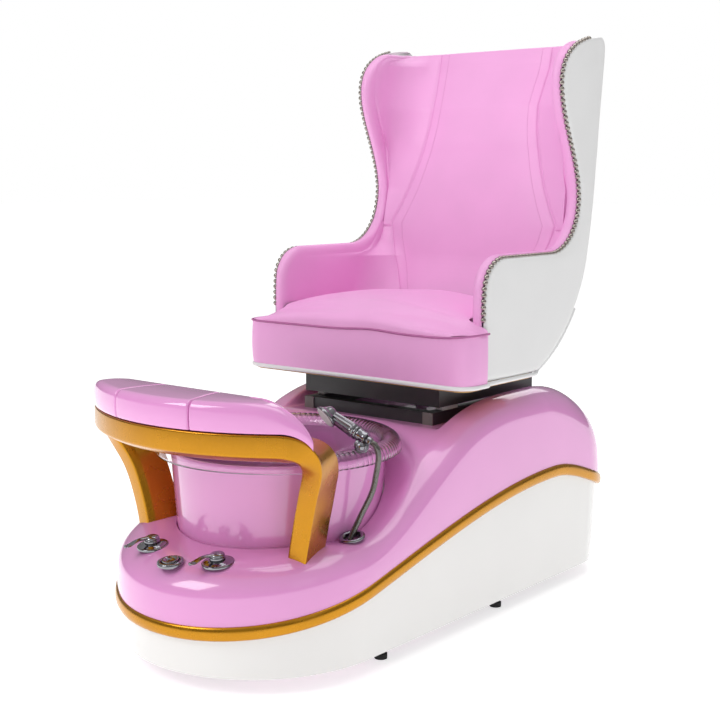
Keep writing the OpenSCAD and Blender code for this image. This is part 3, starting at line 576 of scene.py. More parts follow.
def tub_shell():
    """The pink moulding: a rounded outer edge, and a top with holes for the drum and the hose."""
    rings = shell_rings()
    part_a = loft(rings, caps=False)
    outer = rings[-1]
    n_out, n_drum, n_hose = len(outer), 180, 32
    # The loop of the drum's hole, whose radius depends on the deck's height there, and the hose's hole
    ang = np.arange(n_drum) * 2 * pi / n_drum
    rr = np.full(n_drum, 244.0)
    for _ in range(4):
        hx, hy = rr * np.cos(ang), BASIN_Y + rr * np.sin(ang)
        rr = drum_radius(top_z(hx, hy)) + 3.5
    hx, hy = rr * np.cos(ang), BASIN_Y + rr * np.sin(ang)
    g_ang = np.arange(n_hose) * 2 * pi / n_hose
    gx, gy = GROMMET[0] + HOSE_HOLE_R * np.cos(g_ang), GROMMET[1] + HOSE_HOLE_R * np.sin(g_ang)
    pts = [tuple(p[:2]) for p in outer] + list(zip(hx, hy)) + list(zip(gx, gy))
    edges = ring_edges(0, n_out) + ring_edges(n_out, n_drum) + ring_edges(n_out + n_drum, n_hose)
    # Rings of points round the basin, rows along the channel, and a plain grid elsewhere
    extra, step = [], 9
    for dr in (5, 11, 18, 26, 34, 39, 43, 46, 49, 52, 55, 59, 65, 72, 80):
        for a in np.arange(0, 2 * pi, step / 300):
            extra.append(((DRUM_RIM_R + dr) * cos(a), BASIN_Y + (DRUM_RIM_R + dr) * sin(a)))
    for y in np.arange(CHANNEL_Y, 640, 8):
        for x in (232, 236, 239, 242, 245, 248, 251, 254, 258, 264):
            extra += [(x, y), (-x, y)]
    for j, y in enumerate(np.arange(-700, 720, step)):
        for x in np.arange(-320 + (j % 2) * step / 2, 321, step):
            if from_basin(x, y) >= 332 and not (y > CHANNEL_Y and 228 < abs(x) < 268):
                extra.append((x, y))
    for x, y in extra:
        rad = from_basin(x, y)
        if rad < 250 or inside_by(x, y) < edge_w(y) + 4 or from_grommet(x, y) < HOSE_HOLE_R + 5:
            continue
        # Points would crowd where the rings reach the channel
        if y > CHANNEL_Y and 300 < rad < 330 and 231 < abs(x) < 266:
            continue
        pts.append((float(x), float(y)))
    xy, faces = triangulated(pts, edges)
    tris = []
    for f in faces:
        c = xy[list(f)].mean(0)
        in_drum = from_basin(*c) < 244 and all(from_basin(*xy[i]) < 252 for i in f)
        if not in_drum and from_grommet(*c) >= HOSE_HOLE_R - 1:
            tris.append(list(f))
    z = top_z(xy[:, 0], xy[:, 1])
    part_b = (np.column_stack([xy, z]), tris)
    # Lip down into the basin's hole, and the wall of the hose's hole
    hz = top_z(hx, hy)
    lip = []
    for dr, dz in ((0, 0), (-1.2, -0.8), (-2.0, -2.4), (-2.3, -5), (-2.3, -26)):
        lip.append(np.column_stack([(rr + dr) * np.cos(ang), BASIN_Y + (rr + dr) * np.sin(ang), hz + dz]))
    gz = top_z(gx, gy)
    hole = [np.column_stack([gx, gy, gz - d]) for d in (0, 30)]
    v, f = join_parts([part_a, part_b, loft(lip, caps=False), loft(hole, caps=False)])
    piece("tub_shell", v, f, gel_pink, "base", ["top_shell"], "pink_gelcoat", sharp=0, weld=0.05)


tub_shell()


def gold_trim():
    rings = []
    for a in np.linspace(-pi / 2, pi / 2, 15):
        out = 8.2 * max(0.0, cos(a)) ** 0.75 - 1.0
        p = outline(SHELL_HW + out)
        rings.append(np.column_stack([p, TRIM_LINE + 15.5 * sin(a)]))
    p = outline(SHELL_HW - 5)
    rings.append(np.column_stack([p, TRIM_LINE + 13]))
    rings.append(np.column_stack([p, TRIM_LINE - 13]))
    v, f = loft(rings, caps=False, ring=True)
    piece("trim_moulding", v, f, gold_lacquer, "base", ["trim_band"], "gold_paint", sharp=50)


gold_trim()


SKIRT_Z = 38  # where the skirt's lower edge starts to round in


def skirt():
    rings = []
    for t in np.linspace(0, 1, 9):
        z = SKIRT_Z + (TRIM_LINE - 6 - SKIRT_Z) * t
        rings.append(np.column_stack([outline(317 + 10 * t ** 0.8), z]))
    edge = [(313.5, 36.2), (315.8, 36.4), (316.8, 37.2)]
    under = [np.column_stack([outline(hw), np.full(len(by), z)]) for hw,
             z in [(312, 60), (312, SKIRT_Z)] + edge]
    v, f = loft(under + rings, caps=False)
    piece("base_skirt_skin", v, f, gel_white, "base", ["base_skirt"], "white_gelcoat", sharp=60)


skirt()


# ------------------------------------------------------------------ basin
RIM_R = 262  # the crest of the bowl's rim: the flutes face out beyond it, and in within it


def basin():
    """The pink drum with its floor, and the clear bowl, whose rim is fluted on the seat's side."""
    prof = [(0.5, 256), (230, 255), (236, 255)] + [(drum_radius(z), z)
                                                   for z in (262, 275, 300, 340, 390, 430, 455, 464)]
    prof += [(251.6, 468), (250.5, 470.5), (248, 471), (245.5, 469), (245, 464), (243, 420), (238, 340),
             (231, 268), (226, 262), (0.5, 261)]
    v, f = closed_revolve(prof, 144, (0, BASIN_Y, 0))
    piece("basin_body", v, f, gel_pink, "base", ["basin_drum"], "pink_gelcoat", sharp=45, weld=0.01)

    prof = [(0.5, 318), (60, 318), (120, 318), (160, 319), (186, 325), (200, 338), (207, 356), (216, 390),
            (225, 424),
            (233, 452), (238, 468), (242, 480), (249, 488), (258, 492), (267, 491.5), (275, 487),
            (280.5, 479), (282.5, 468),
            (282, 462)]
    prof = resample(catmull(prof, 6), count=90)
    v, n = [], 620
    for r, z in prof:
        for a in circle(n):
            ridge = smooth((cos(a - radians(60)) + 0.3) / 0.4) * smooth((r - 238) / 8) * (z > 460)
            wave = (abs(sin(a * 60)) - 0.35) * 2.0 * ridge
            on_top = smooth((z - 470) / 16)
            out = r + wave * (1 - on_top) * (1 if r > RIM_R else -1)
            v.append((out * cos(a), BASIN_Y + out * sin(a), z + wave * on_top))
    f = grid_faces(len(prof), n, wrap_cols=True)
    ob = piece("bowl_liner", v, f, acrylic, "base", ["basin_bowl"], "clear_acrylic", sharp=0)
    mod = ob.modifiers.new("thickness", "SOLIDIFY")
    mod.thickness, mod.offset = 4 * MM, 1.0


basin()


# ------------------------------------------------------------------ footrest
ARC_R, ARC_Y = 475.0, -262.0
# X, Y, Z of the outer front arris, the way the front face looks, front face height, chamfer
ARCH_STATIONS = [
    (272, -651.4, 573, 34.9, 46, 14), (292, -636.8, 572.2, 38, 46, 14), (309, -623, 568.5, 40, 46, 13),
    (324, -609, 560.5, 40.5, 45, 12), (335.5, -597, 548, 39.5, 44, 11), (342.5, -586.5, 531, 36, 44, 10),
    (343.5, -577.5, 511, 31.5, 44, 9), (339, -569.5, 490, 26.5, 44, 8), (330, -562.5, 469, 21.5, 44, 8),
    (318.5, -556, 447, 17.5, 44, 7), (306, -549.5, 423, 14.5, 44, 7), (295, -544.5, 396, 12.5, 44, 7),
    (284, -541, 362, 12, 44, 7), (274, -538.6, 325, 12, 44, 7), (266, -537.4, 290, 12, 44, 7),
    (260, -537, 252, 12, 44, 7)]


def footrest_arch():
    st = [(ARC_R * sin(a), ARC_Y - ARC_R * cos(a), 573, math.degrees(a), 46, 14)
          for a in np.linspace(0, radians(33.5), 24)]
    st = np.array(st + ARCH_STATIONS, float)
    st = catmull(st, 3)
    pos = st[:, :3]
    tan = np.gradient(pos, axis=0)
    tan /= np.linalg.norm(tan, axis=1)[:, None]
    half = []
    for k, s in enumerate(st):
        al = radians(s[3])
        fwd = arr(sin(al), -cos(al), 0)
        fwd = unit(fwd - tan[k] * (fwd @ tan[k]))
        up = np.cross(fwd, tan[k])
        up = unit(up if up[2] > -1e-6 or k > 40 else -up)
        if k and up @ half_up < 0:
            up = -up
        half_up = up
        t, c, depth = s[4], s[5], 85.0
        poly = [(0, 0), (-depth, 0), (-depth, -(t + c)), (-24 * min(1, c / 14 + 0.3), -(t + c)), (0, -t)]
        sec = rounded(poly, [4.5, 3, 3, 5, 5], 4)
        half.append(pos[k] + sec[:, :1] * fwd + sec[:, 1:] * up)
    half = np.array(half)
    other = half[1:][::-1] * arr(-1, 1, 1)
    v, f = loft(np.vstack([other, half]))
    piece("footrest_arch", v, f, gold_lacquer, "base", ["footrest_frame"], "gold_paint", sharp=50)


footrest_arch()


def arch_top_z(x):
    """Height of the arch's top edge at a distance from the middle."""
    x = np.abs(x)
    q = np.clip((x - 287) / 58, 0, 0.985)
    return 573 - 62 * (1 - np.sqrt(1 - q * q))


def pad_top_z(x):
    """Height of the pads' top, which comes down to the arch's shoulder in a quarter ellipse."""
    q = np.clip((np.abs(x) - 243) / 98, 0, 0.999)
    return 537 + 100 * np.sqrt(1 - q * q)


def footrest_pad(name, node, a0, a1, free0, free1):
    """One pad between two plan angles; the free ends taper along the arch's shoulder."""
    lip = 5.0
    edge = [0, 0.15, 0.6, 1.4, 2.5, 4.0, 6.0]
    t = np.linspace(0, 1, 60 if (free0 or free1) else 30)
    if free0:
        t = 1 - np.sin(pi / 2 * t[::-1])
    if free1:
        t = np.sin(pi / 2 * t)
    inner = a0 + (a1 - a0) * t
    per_mm = 1 / ARC_R
    start = [] if free0 else [(a0 + e * per_mm, e) for e in edge]
    stop = [] if free1 else [(a1 - e * per_mm, e) for e in edge][::-1]
    mid = [(a, 99) for a in inner if (free0 or a > a0 + 8 * per_mm) and (free1 or a < a1 - 8 * per_mm)]
    cols = start + mid + stop
    secs = []
    for a, e in cols:
        inset = 0.0 if e >= lip else lip - math.sqrt(max(0, lip * lip - (lip - e) ** 2))
        front = ARC_R + 1.5 - inset
        back = (595 + ARC_Y) / cos(a) + inset
        x = ARC_R * sin(a)
        zb, zt = float(arch_top_z(x)) + 2.2, float(pad_top_z(x)) - inset
        depth = max(front - back, 1.0)
        rf, rr = min(19, depth * 0.45, (zt - zb) * 0.6), min(13, depth * 0.4, (zt - zb) * 0.45)
        base = min(3.0, depth * 0.2)
        sec = [(front - base - 1.5, zb), (front - base * 0.5 - 1.0, zb + 0.5), (front - 0.8, zb + 2.5),
               (front, zb + 7)]
        for t in np.linspace(0, 1, 6)[1:]:
            sec.append((front + 1.2 * math.sin(pi * t), zb + 7 + (zt - rf - zb - 7) * t))
        for t in np.linspace(0, pi / 2, 10)[1:]:
            sec.append((front - rf + rf * cos(t), zt - rf + rf * sin(t)))
        for t in np.linspace(0, 1, 10)[1:-1]:
            sec.append((front - rf + (back + rr - front + rf) * t, zt + 1.4 * math.sin(pi * t)))
        for t in np.linspace(0, pi / 2, 8):
            sec.append((back + rr - rr * sin(t), zt - rr + rr * cos(t)))
        sec.append((back, zb + 3))
        sec.append((back + 2, zb))
        sec.append(((front + back) / 2, zb))
        secs.append([(q * sin(a), ARC_Y - q * cos(a), z) for q, z in sec])
    v, f = loft(secs)
    piece(name, v, f, gel_pink, "base", [node], "pink_gelcoat", sharp=55)


GROOVE = math.asin(112 / ARC_R)
END = radians(45.5)
HALF_GAP = 0.0016  # half of the groove between two pads, as an angle
footrest_pad("pad_centre", "footrest_pad_center", -GROOVE + HALF_GAP, GROOVE - HALF_GAP, False, False)
footrest_pad("pad_right", "footrest_pad_right", -END, -GROOVE - HALF_GAP, True, False)
footrest_pad("pad_left", "footrest_pad_left", GROOVE + HALF_GAP, END, False, True)


def pad_gap_shadow_strip():
    """A dark strip behind the gap between the pads and the arch: painted shade."""
    secs = []
    for a in np.linspace(-radians(44), radians(44), 90):
        x = ARC_R * sin(a)
        back = (595 + ARC_Y) / cos(a)
        z0 = float(arch_top_z(x)) - 6
        z1 = z0 + 10
        secs.append([(q * sin(a), ARC_Y - q * cos(a), z) for q, z in
                     ((ARC_R - 7, z0), (ARC_R - 7, z1), (max(back + 6, 396), z1), (max(back + 6, 396), z0))])
    v, f = loft(secs)
    piece("pad_gap_shade", v, f, dark_gap, "base", slot="rubber")


pad_gap_shadow_strip()


# ------------------------------------------------------------------ controls
def on_deck(x, y):
    """Origin and turn of a control set square to the sloped deck."""
    c, s = cos(TILT), sin(TILT)
    return arr(x, y, deck_z(y)), arr([1, 0, 0], [0, c, -s], [0, s, c])


def place(points, origin, turn):
    return np.asarray(points, float) @ np.asarray(turn).T + origin


def turn_z(deg):
    c, s = cos(radians(deg)), sin(radians(deg))
    return arr([c, -s, 0], [s, c, 0], [0, 0, 1])


LEVER_Y, LEVER_ANGLE = -637.0, 252.0


def escutcheon(name, node, x):
    o, t = on_deck(x, LEVER_Y)
    prof = [(35.5, -3), (35.5, 0.6), (34.8, 1.6), (33.2, 2.1), (31.8, 1.8), (30.6, 2.0), (29, 2.9),
            (25.5, 4.6), (21, 6.1),
            (18, 6.8), (12, 7.0), (12, 4)]
    v, f = revolve(prof, 96, o, t)
    piece(name, v, f, chrome, "base", [node], "chrome", sharp=40)


def lever(name, node, x, body):
    """A hub with a waisted, dished arm that ends in a small knob."""
    o, t = on_deck(x, LEVER_Y)
    hub = closed_revolve([(11, 7.4), (17.2, 7.4), (17.8, 9), (17.8, 12), (17, 14.4), (16.2, 15),
                          (16.8, 15.8), (16.4, 18),
                          (14, 20.6), (10, 22.3), (5, 23.0), (0.4, 23.2)], 64, o, t)
    spin = t @ turn_z(LEVER_ANGLE)
    secs = []
    for q in np.linspace(0, 1, 34):
        along = 6 + 59 * q
        width = np.interp(q, [0, 0.18, 0.4, 0.65, 0.85, 0.95, 1.0], [9.5, 7.0, 6.2, 8.6, 9.6, 7.6, 1.2])
        thick = np.interp(q, [0, 0.2, 0.6, 0.92, 1.0], [5.2, 3.6, 2.5, 2.3, 0.8])
        lift = 17.5 + 3.5 * math.sin(pi * min(1, q * 1.25)) - 3.0 * smooth((q - 0.4) / 0.6)
        ring = []
        for a in circle(20):
            ca, sa = cos(a), sin(a)
            dish = -0.8 * (sa > 0) * smooth((q - 0.35) / 0.3) * (1 - ca * ca)
            ring.append((along, width * ca, lift + thick * sa + dish))
        secs.append(ring)
    arm = loft(secs)
    arm = (place(arm[0], o, spin), arm[1])
    knob = closed_revolve([(0.3, -4.2), (2.6, -3.6), (4.2, -1.6), (4.4, 0.6), (3.2, 2.8), (0.3, 3.8)], 24,
                          place([(63.5, 0, 15.4)], o, spin)[0], t)
    marker = closed_revolve([(0.2, 23.9), (4.5, 23.7), (5.0, 22.9), (5.0, 22)], 32, o, t)
    v, f = join_parts([hub, arm, knob, marker])
    piece(name, v, f, chrome, body, [node], "chrome", sharp=50)


escutcheon("escutcheon_hot", "hot_escutcheon", 103)
escutcheon("escutcheon_cold", "cold_escutcheon", -103)
lever("lever_hot", "hot_lever", 103, "hot_lever")
lever("lever_cold", "cold_lever", -103, "cold_lever")


def jet_button():
    o, t = on_deck(8, -686)
    ring = revolve([(29.5, -3), (29.5, 0.8), (28.6, 2.6), (26.5, 4.4), (24.0, 5.4), (22.4, 5.2),
                    (21.2, 4.0), (20.6, 1), (20.6, -8)],
                   96, o, t)
    knurl = []
    for a in circle(36):
        c = o + t @ arr(27.6 * cos(a), 27.6 * sin(a), 3.6)
        knurl.append(closed_revolve([(0.2, 1.0), (0.9, 0.7), (1.2, 0), (0.9, -0.7)], 8, c, t))
    piece("button_ring", *join_parts([ring] + knurl), chrome, "base", ["button_bezel"], "chrome", sharp=45)
    cap = closed_revolve([(19, -6), (19, 5.6), (18.4, 7.2), (16.8, 8.0), (14.6, 7.8), (13.4, 6.6),
                          (11, 5.2), (6, 4.4), (0.3, 4.2)],
                         72, o, t)
    piece("button_cap", *cap, chrome, "jet_button", ["jet_button"], "chrome", sharp=40)


jet_button()


# ------------------------------------------------------------------ hand shower
def grommet():
    c, s = cos(radians(13)), sin(radians(13))
    t = arr([1, 0, 0], [0, c, -s], [0, s, c])
    v, f = revolve([(20, -14), (20, -1), (28.6, -1), (29.4, 0.6), (29.3, 2.6), (28.2, 4.4), (26.2, 5.6),
                    (24.0, 6.0), (21.6, 5.2),
                    (19.0, 3.0), (17.6, 0), (17.1, -5), (17.1, -14), (20, -14)], 96, GROMMET, t)
    piece("hose_collar", v, f, chrome, "base", ["hose_grommet"], "chrome", sharp=40, weld=0.01)


grommet()
HANDLE_BASE = arr(272, -350, 522)
HANDLE_DIR = unit([-0.883, -0.158, 0.442])
FACE_DIR = unit([-0.35, -0.75, -0.56])


def turn_to(d):
    """Turn that takes +Z onto d, the way the CAD does it."""
    th, ph = math.acos(d[2]), math.atan2(d[1], d[0])
    ry = arr([cos(th), 0, sin(th)], [0, 1, 0], [-sin(th), 0, cos(th)])
    return turn_z(math.degrees(ph)) @ ry


HANDLE_TURN, FACE_TURN = turn_to(HANDLE_DIR), turn_to(FACE_DIR)


def holder():
    ball = arr(264, -350, 503)
    foot = closed_revolve([(13, 488), (13.4, 491), (12.4, 494), (9, 496), (8, 500), (8, 506)], 40,
                          (ball[0] - 2, ball[1], 0))
    body = closed_revolve([(0.3, -17.2), (7, -15.8), (12.4, -12), (16, -6.4), (17.2, 0), (16, 6.4),
                           (12.4, 12), (7, 15.8), (0.3, 17.2)],
                          56, ball, HANDLE_TURN)
    front = unit([0.55, -0.82, 0.05])
    boss = closed_revolve([(10.5, 8), (11.4, 13), (11.2, 16), (9.6, 18.2), (8.4, 17.6), (7.4, 18.8),
                           (4, 20.4), (0.3, 20.8)], 40,
                          ball, turn_to(front))
    scroll = []
    for k in range(4):
        r = 12.5 - 1.9 * k
        path = [ball + turn_to(front) @ arr((r + 3) * cos(a), (r + 3) * sin(a), 9.5 + 1.1 * k)
                for a in np.linspace(radians(35), radians(245), 30)]
        scroll.append(tube(path, 1.15, 8))
    cup = revolve([(11.9, -6), (14.6, -6), (15.4, -4), (15.2, 0), (14.2, 4), (14.6, 9), (15.6, 13),
                   (15.8, 16), (14.8, 17.6),
                   (13, 17.9), (11.9, 17), (11.9, -6)], 56, HANDLE_BASE, HANDLE_TURN)
    v, f = join_parts([foot, body, boss, cup] + scroll)
    piece("shower_cradle", v, f, chrome, "base", ["shower_holder"], "chrome", sharp=45, weld=0.01)


holder()


def hand_shower():
    """Nut, fluted grip and bell in one piece, and the white plate with its jets."""
    nut = closed_revolve([(0.5, -20), (8.4, -20), (9.3, -18.6), (9.3, -8), (8.6, -6.6), (10.8, -6.4),
                          (10.8, 18), (12.4, 18.2),
                          (15.6, 19.6), (16.6, 22), (16.4, 24.6), (15.2, 26), (14.6, 27), (15.8, 28.6),
                          (17.2, 31), (17.0, 33)],
                         48, HANDLE_BASE, HANDLE_TURN,
                         bump=lambda a, r, z: r * (0.95 + 0.05 * abs(cos(3 * a))) if z < -7 else r)
    # The fluted grip bends over into the head
    head = HANDLE_BASE + 100 * HANDLE_DIR
    back = head - 14 * FACE_DIR
    line = catmull([HANDLE_BASE + 31 * HANDLE_DIR, HANDLE_BASE + 50 * HANDLE_DIR,
                    HANDLE_BASE + 70 * HANDLE_DIR,
                    HANDLE_BASE + 87 * HANDLE_DIR, back + 12 * FACE_DIR - 4 * HANDLE_DIR], 14)
    _, a, b = path_frames(line)
    n = 96
    secs = []
    for i, p in enumerate(line):
        q = i / (len(line) - 1)
        r0 = np.interp(q, [0, 0.06, 0.5, 0.85, 1.0], [16.8, 16.2, 14.4, 13.4, 14.5])
        deep = 1.7 * smooth(q / 0.08) * smooth((0.93 - q) / 0.08)
        ring = []
        for an in circle(n):
            r = r0 - deep * (0.5 - 0.5 * cos(12 * an)) ** 0.8
            ring.append(p + r * (cos(an) * a[i] + sin(an) * b[i]))
        secs.append(ring)
    grip = loft(secs)
    bell = closed_revolve([(0.4, -17.5), (6, -17), (11, -15), (14.6, -11), (17, -6), (20, -1), (23.6, 3),
                           (26.6, 6), (27.6, 8.4),
                           (27.6, 10.6), (26.6, 12.2), (25.2, 12.6), (24.6, 12.2)], 72, head, FACE_TURN)
    v, f = join_parts([nut, grip, bell])
    piece("shower_grip", v, f, chrome_fluted, "hand_shower", ["shower_handle"], "chrome", sharp=45)
    plate = closed_revolve([(24.8, 8), (24.8, 12.4), (23.6, 13.6), (21.5, 14.0), (20.6, 13.2), (19, 12.8),
                            (10, 13.3), (0.4, 13.6)], 72,
                           head, FACE_TURN)
    jets = []
    for ring, count in ((4.5, 6), (9.5, 12), (15, 18)):
        for an in circle(count):
            jets.append(closed_revolve([(1.25, 12.4), (1.1, 14.4), (0.7, 14.9), (0.2, 14.9)], 10,
                                       head + FACE_TURN @ arr(ring * cos(an), ring * sin(an), 0), FACE_TURN))
    v, f = join_parts([plate] + jets)
    piece("shower_plate", v, f, white_plastic, "hand_shower", ["shower_face"], "white_plastic", sharp=45)


hand_shower()


# ------------------------------------------------------------------ seat shell: side curves in the Y-Z plane
def arc_pts(cx, cy, r, a0, a1, n):
    a = np.radians(np.linspace(a0, a1, n + 1))
    return np.column_stack([cx + r * np.cos(a), cy + r * np.sin(a)])


def bezier(p, n):
    a, b, c, d = (arr(*q) for q in p)
    t = np.linspace(0, 1, n + 1)[1:, None]
    u = 1 - t
    return u ** 3 * a + 3 * u * u * t * b + 3 * u * t * t * c + t ** 3 * d


FRONT = np.vstack([[(18, 606), (18, 790)], arc_pts(98, 818, 78, 180, 90, 24),
                   arc_pts(312, 1034, 138, -90, -8, 24),
                   bezier([(449, 1015), (470, 1120), (366, 1230), (366, 1322)], 40),
                   bezier([(366, 1322), (366, 1400), (440, 1436), (546, 1446)], 30)])
FRONT = resample(FRONT, step=4)
REAR = np.vstack([[(262, 606)], bezier([(262, 606), (395, 660), (480, 775), (502, 872)], 24),
                  [(558, 1158), (586, 1391), (588, 1446)]])
REAR = resample(REAR, step=4)
OUT_X, IN_X, SEAT_BASE, TOP_Z, BACK_TOP = 341.0, 298.0, 606, 1446.0, 1430.0


def rear_y(z, d=0.0):
    return np.interp(z, REAR[:, 1], REAR[:, 0]) - d


def lean_in(z):
    """The wings lean in a little towards their tops: the share of the half width kept at a height."""
    return 1 - 0.026 * smooth((np.asarray(z, float) - 930) / 300)


def edge_at(z_lo):
    """Index of the first front-edge point above a height."""
    return int(np.argmax(FRONT[:, 1] >= z_lo))


def arc_length(p):
    return np.concatenate([[0], np.cumsum(np.linalg.norm(np.diff(p, axis=0), axis=1))])


# Pairs of matching stations on the front edge (y, z) and heights on the rear edge
MATCH = [((18, 606), 606), ((18, 790), 700), ((30, 862), 760), ((98, 896), 812), ((200, 896), 842),
         ((312, 896), 872),
         ((400, 925), 905), ((449, 1015), 985), ((436, 1110), 1085), ((400, 1200), 1190), ((366, 1322), 1318),
         ((385, 1390), 1385), ((450, 1433), 1425), ((546, 1446), 1446)]


def matched_rows(at, top=TOP_Z):
    """Front-edge points at distances along it, and the heights that those rows lead to at the back."""
    s = arc_length(FRONT)
    keys = [s[np.argmin(np.hypot(FRONT[:, 0] - p[0], FRONT[:, 1] - p[1]))] for p, _ in MATCH]
    f = np.column_stack([np.interp(at, s, FRONT[:, 0]), np.interp(at, s, FRONT[:, 1])])
    z = np.interp(at, keys, [h for _, h in MATCH])
    return f, z - (TOP_Z - top) * smooth((z - 1300) / (TOP_Z - 1300))


def edge_stations(start_z, n):
    s = arc_length(FRONT)
    return np.linspace(s[edge_at(start_z)], s[-1], n)


REAR_ROUND = 30  # radius of the side covers' rear edge and of its top corner


def side_shell(side):
    """White side panel.

    A soft flat sheet whose edges turn over, thick enough to stand for the board under it.
    """
    f, zb = matched_rows(edge_stations(SEAT_BASE, 150))
    rows = []
    for (fy, fz), z in zip(f, zb):
        ry = float(rear_y(z)) - REAR_ROUND * drop(min(1.0, max(0.0, (z - TOP_Z + REAR_ROUND) / REAR_ROUND)))
        p0, p1 = arr(fy, fz), arr(ry, z)
        length = np.linalg.norm(p1 - p0)
        d = np.concatenate([[0, 0.6, 1.8, 3.6, 6, 9, 13], np.linspace(18, length - 40, 16),
                            length - np.array([32, 25, 19, 14, 9.5, 6, 3, 1, 0])])
        row = []
        for q in np.clip(d, 0, length):
            y, zz = p0 + (p1 - p0) * q / length
            x = OUT_X + 2.2 * sin(pi * min(1, max(0, q / length))) - 7.5 * drop(max(0.0, 1 - q / 9))
            x -= 26 * drop(max(0.0, 1 - (length - q) / REAR_ROUND))
            x -= 5 * drop(max(0.0, 1 - (zz - SEAT_BASE) / 10))
            row.append((side * x * lean_in(zz), y, zz))
        row.append((side * (OUT_X - 27) * lean_in(z), ry - 3, z))
        row.append((side * (OUT_X - 9.5) * lean_in(fz), fy + 12, min(fz, TOP_Z) if fz < 1400 else fz - 8))
        rows.append(row)
    v, fc = loft(rows)
    name = side_name(side)
    piece("side_cover_" + name, v, fc, vinyl_white, "seat", ["shell_side_" + name], "white_vinyl", sharp=60)


side_shell(1)
side_shell(-1)


def back_cover():
    """White outer back, slightly crowned, with the piping where it meets the sides."""
    z = np.linspace(SEAT_BASE, BACK_TOP, 120)
    u = np.linspace(-1, 1, 60)
    outer, inner = [], []
    for h in z:
        y = float(rear_y(h))
        hw = 316 * float(lean_in(h))
        outer.append([(hw * q, y + 3.0 * (1 - q * q) ** 0.5 - 0.5, h) for q in u])
        inner.append([(hw * q, y - 9, h) for q in u[::-1]])
    rows = [o + i for o, i in zip(outer, inner)]
    v, f = loft(rows)
    piece("back_cover", v, f, vinyl_white, "seat", ["shell_back"], "white_vinyl", sharp=60)
    for side in (1, -1):
        path = [(side * 316.5 * float(lean_in(h)), float(rear_y(h)) + 1.5, h)
                for h in np.linspace(612, BACK_TOP, 160)]
        v, f = tube(path, 2.6, 10)
        piece("back_piping_" + side_name(side), v, f, vinyl_white, "seat", slot="white_vinyl")


back_cover()

# The seam between each wing and the back, up from the seat: X and height
SEAM = arr((150, 640), (168, 720), (213, 800), (246, 880), (262, 920), (271, 959), (248, 1003), (226, 1055),
           (208, 1110), (192, 1173),
           (183, 1225), (179, 1275), (183, 1325), (188, 1371), (190, 1446))
CORNER = 108.0  # radius of the inner corner between the wings and the back
STITCH = 2.6  # each row of topstitching, from its seam
SEAM_MARKS = [-12, -7.5, -5, -3.6, -2.6, -1.8, -0.9, 0, 0.9, 1.8, 2.6, 3.6, 5, 7.5, 12]
BRANCH_Z = 972.0  # where the seam from the wing's front edge to the fork starts


def pad_depth(z):
    """Thickness of the inner back, from the outer back's face."""
    return np.interp(z, [1173, 1275, 1371, 1446], [78, 70, 43, 30])


def section(z, front_y):
    """Horizontal section of the inside, from the lining round the inner corner to the middle, as X and Y."""
    yb = float(rear_y(z, pad_depth(z)))
    ry = min(CORNER, max(5.0, yb - front_y - 8))
    out = [(IN_X - CORNER + CORNER * cos(a) ** 0.95, yb - ry + ry * sin(a) ** 0.95)
           for a in np.linspace(0, pi / 2 - 1e-6, 40)]
    out += [(x, yb) for x in np.linspace(IN_X - CORNER, 0, 20)[1:]]
    return np.array(out)


def seam_dent(d):
    """Depth of the padding beside a topstitched seam."""
    d = abs(d)
    return 1.5 * math.exp(-(d / 5) ** 2) + 0.9 * math.exp(-(d / 1.0) ** 2) + 0.5 * math.exp(
            -((d - STITCH) / 0.9) ** 2)


LIP_STEPS, LINING_STEPS, SIDE_STEPS = 12, 25, 12
LIP_TOP = 1425.0  # the padded lip's line ends level with the back's top
PUFF, PUFF_REACH = 6.0, 90  # the padding's rise, and how far from the seam it is full
LIP_R = 15.0
SEAM_COL = LIP_STEPS + LINING_STEPS + SIDE_STEPS + SEAM_MARKS.index(0)


def branch_distance(at):
    """How far stations on the front edge lie from the branch seam's start."""
    return at - arc_length(FRONT)[np.argmin(np.abs(FRONT[:, 1] - BRANCH_Z) + 1e3 * (FRONT[:, 0] < 300))]


def inside_stations():
    at = edge_stations(700, 176)
    branch = at - branch_distance(at)
    keep = at[np.abs(branch_distance(at)) > 14]
    return np.sort(np.concatenate([keep, branch[:1] + np.array(SEAM_MARKS)]))


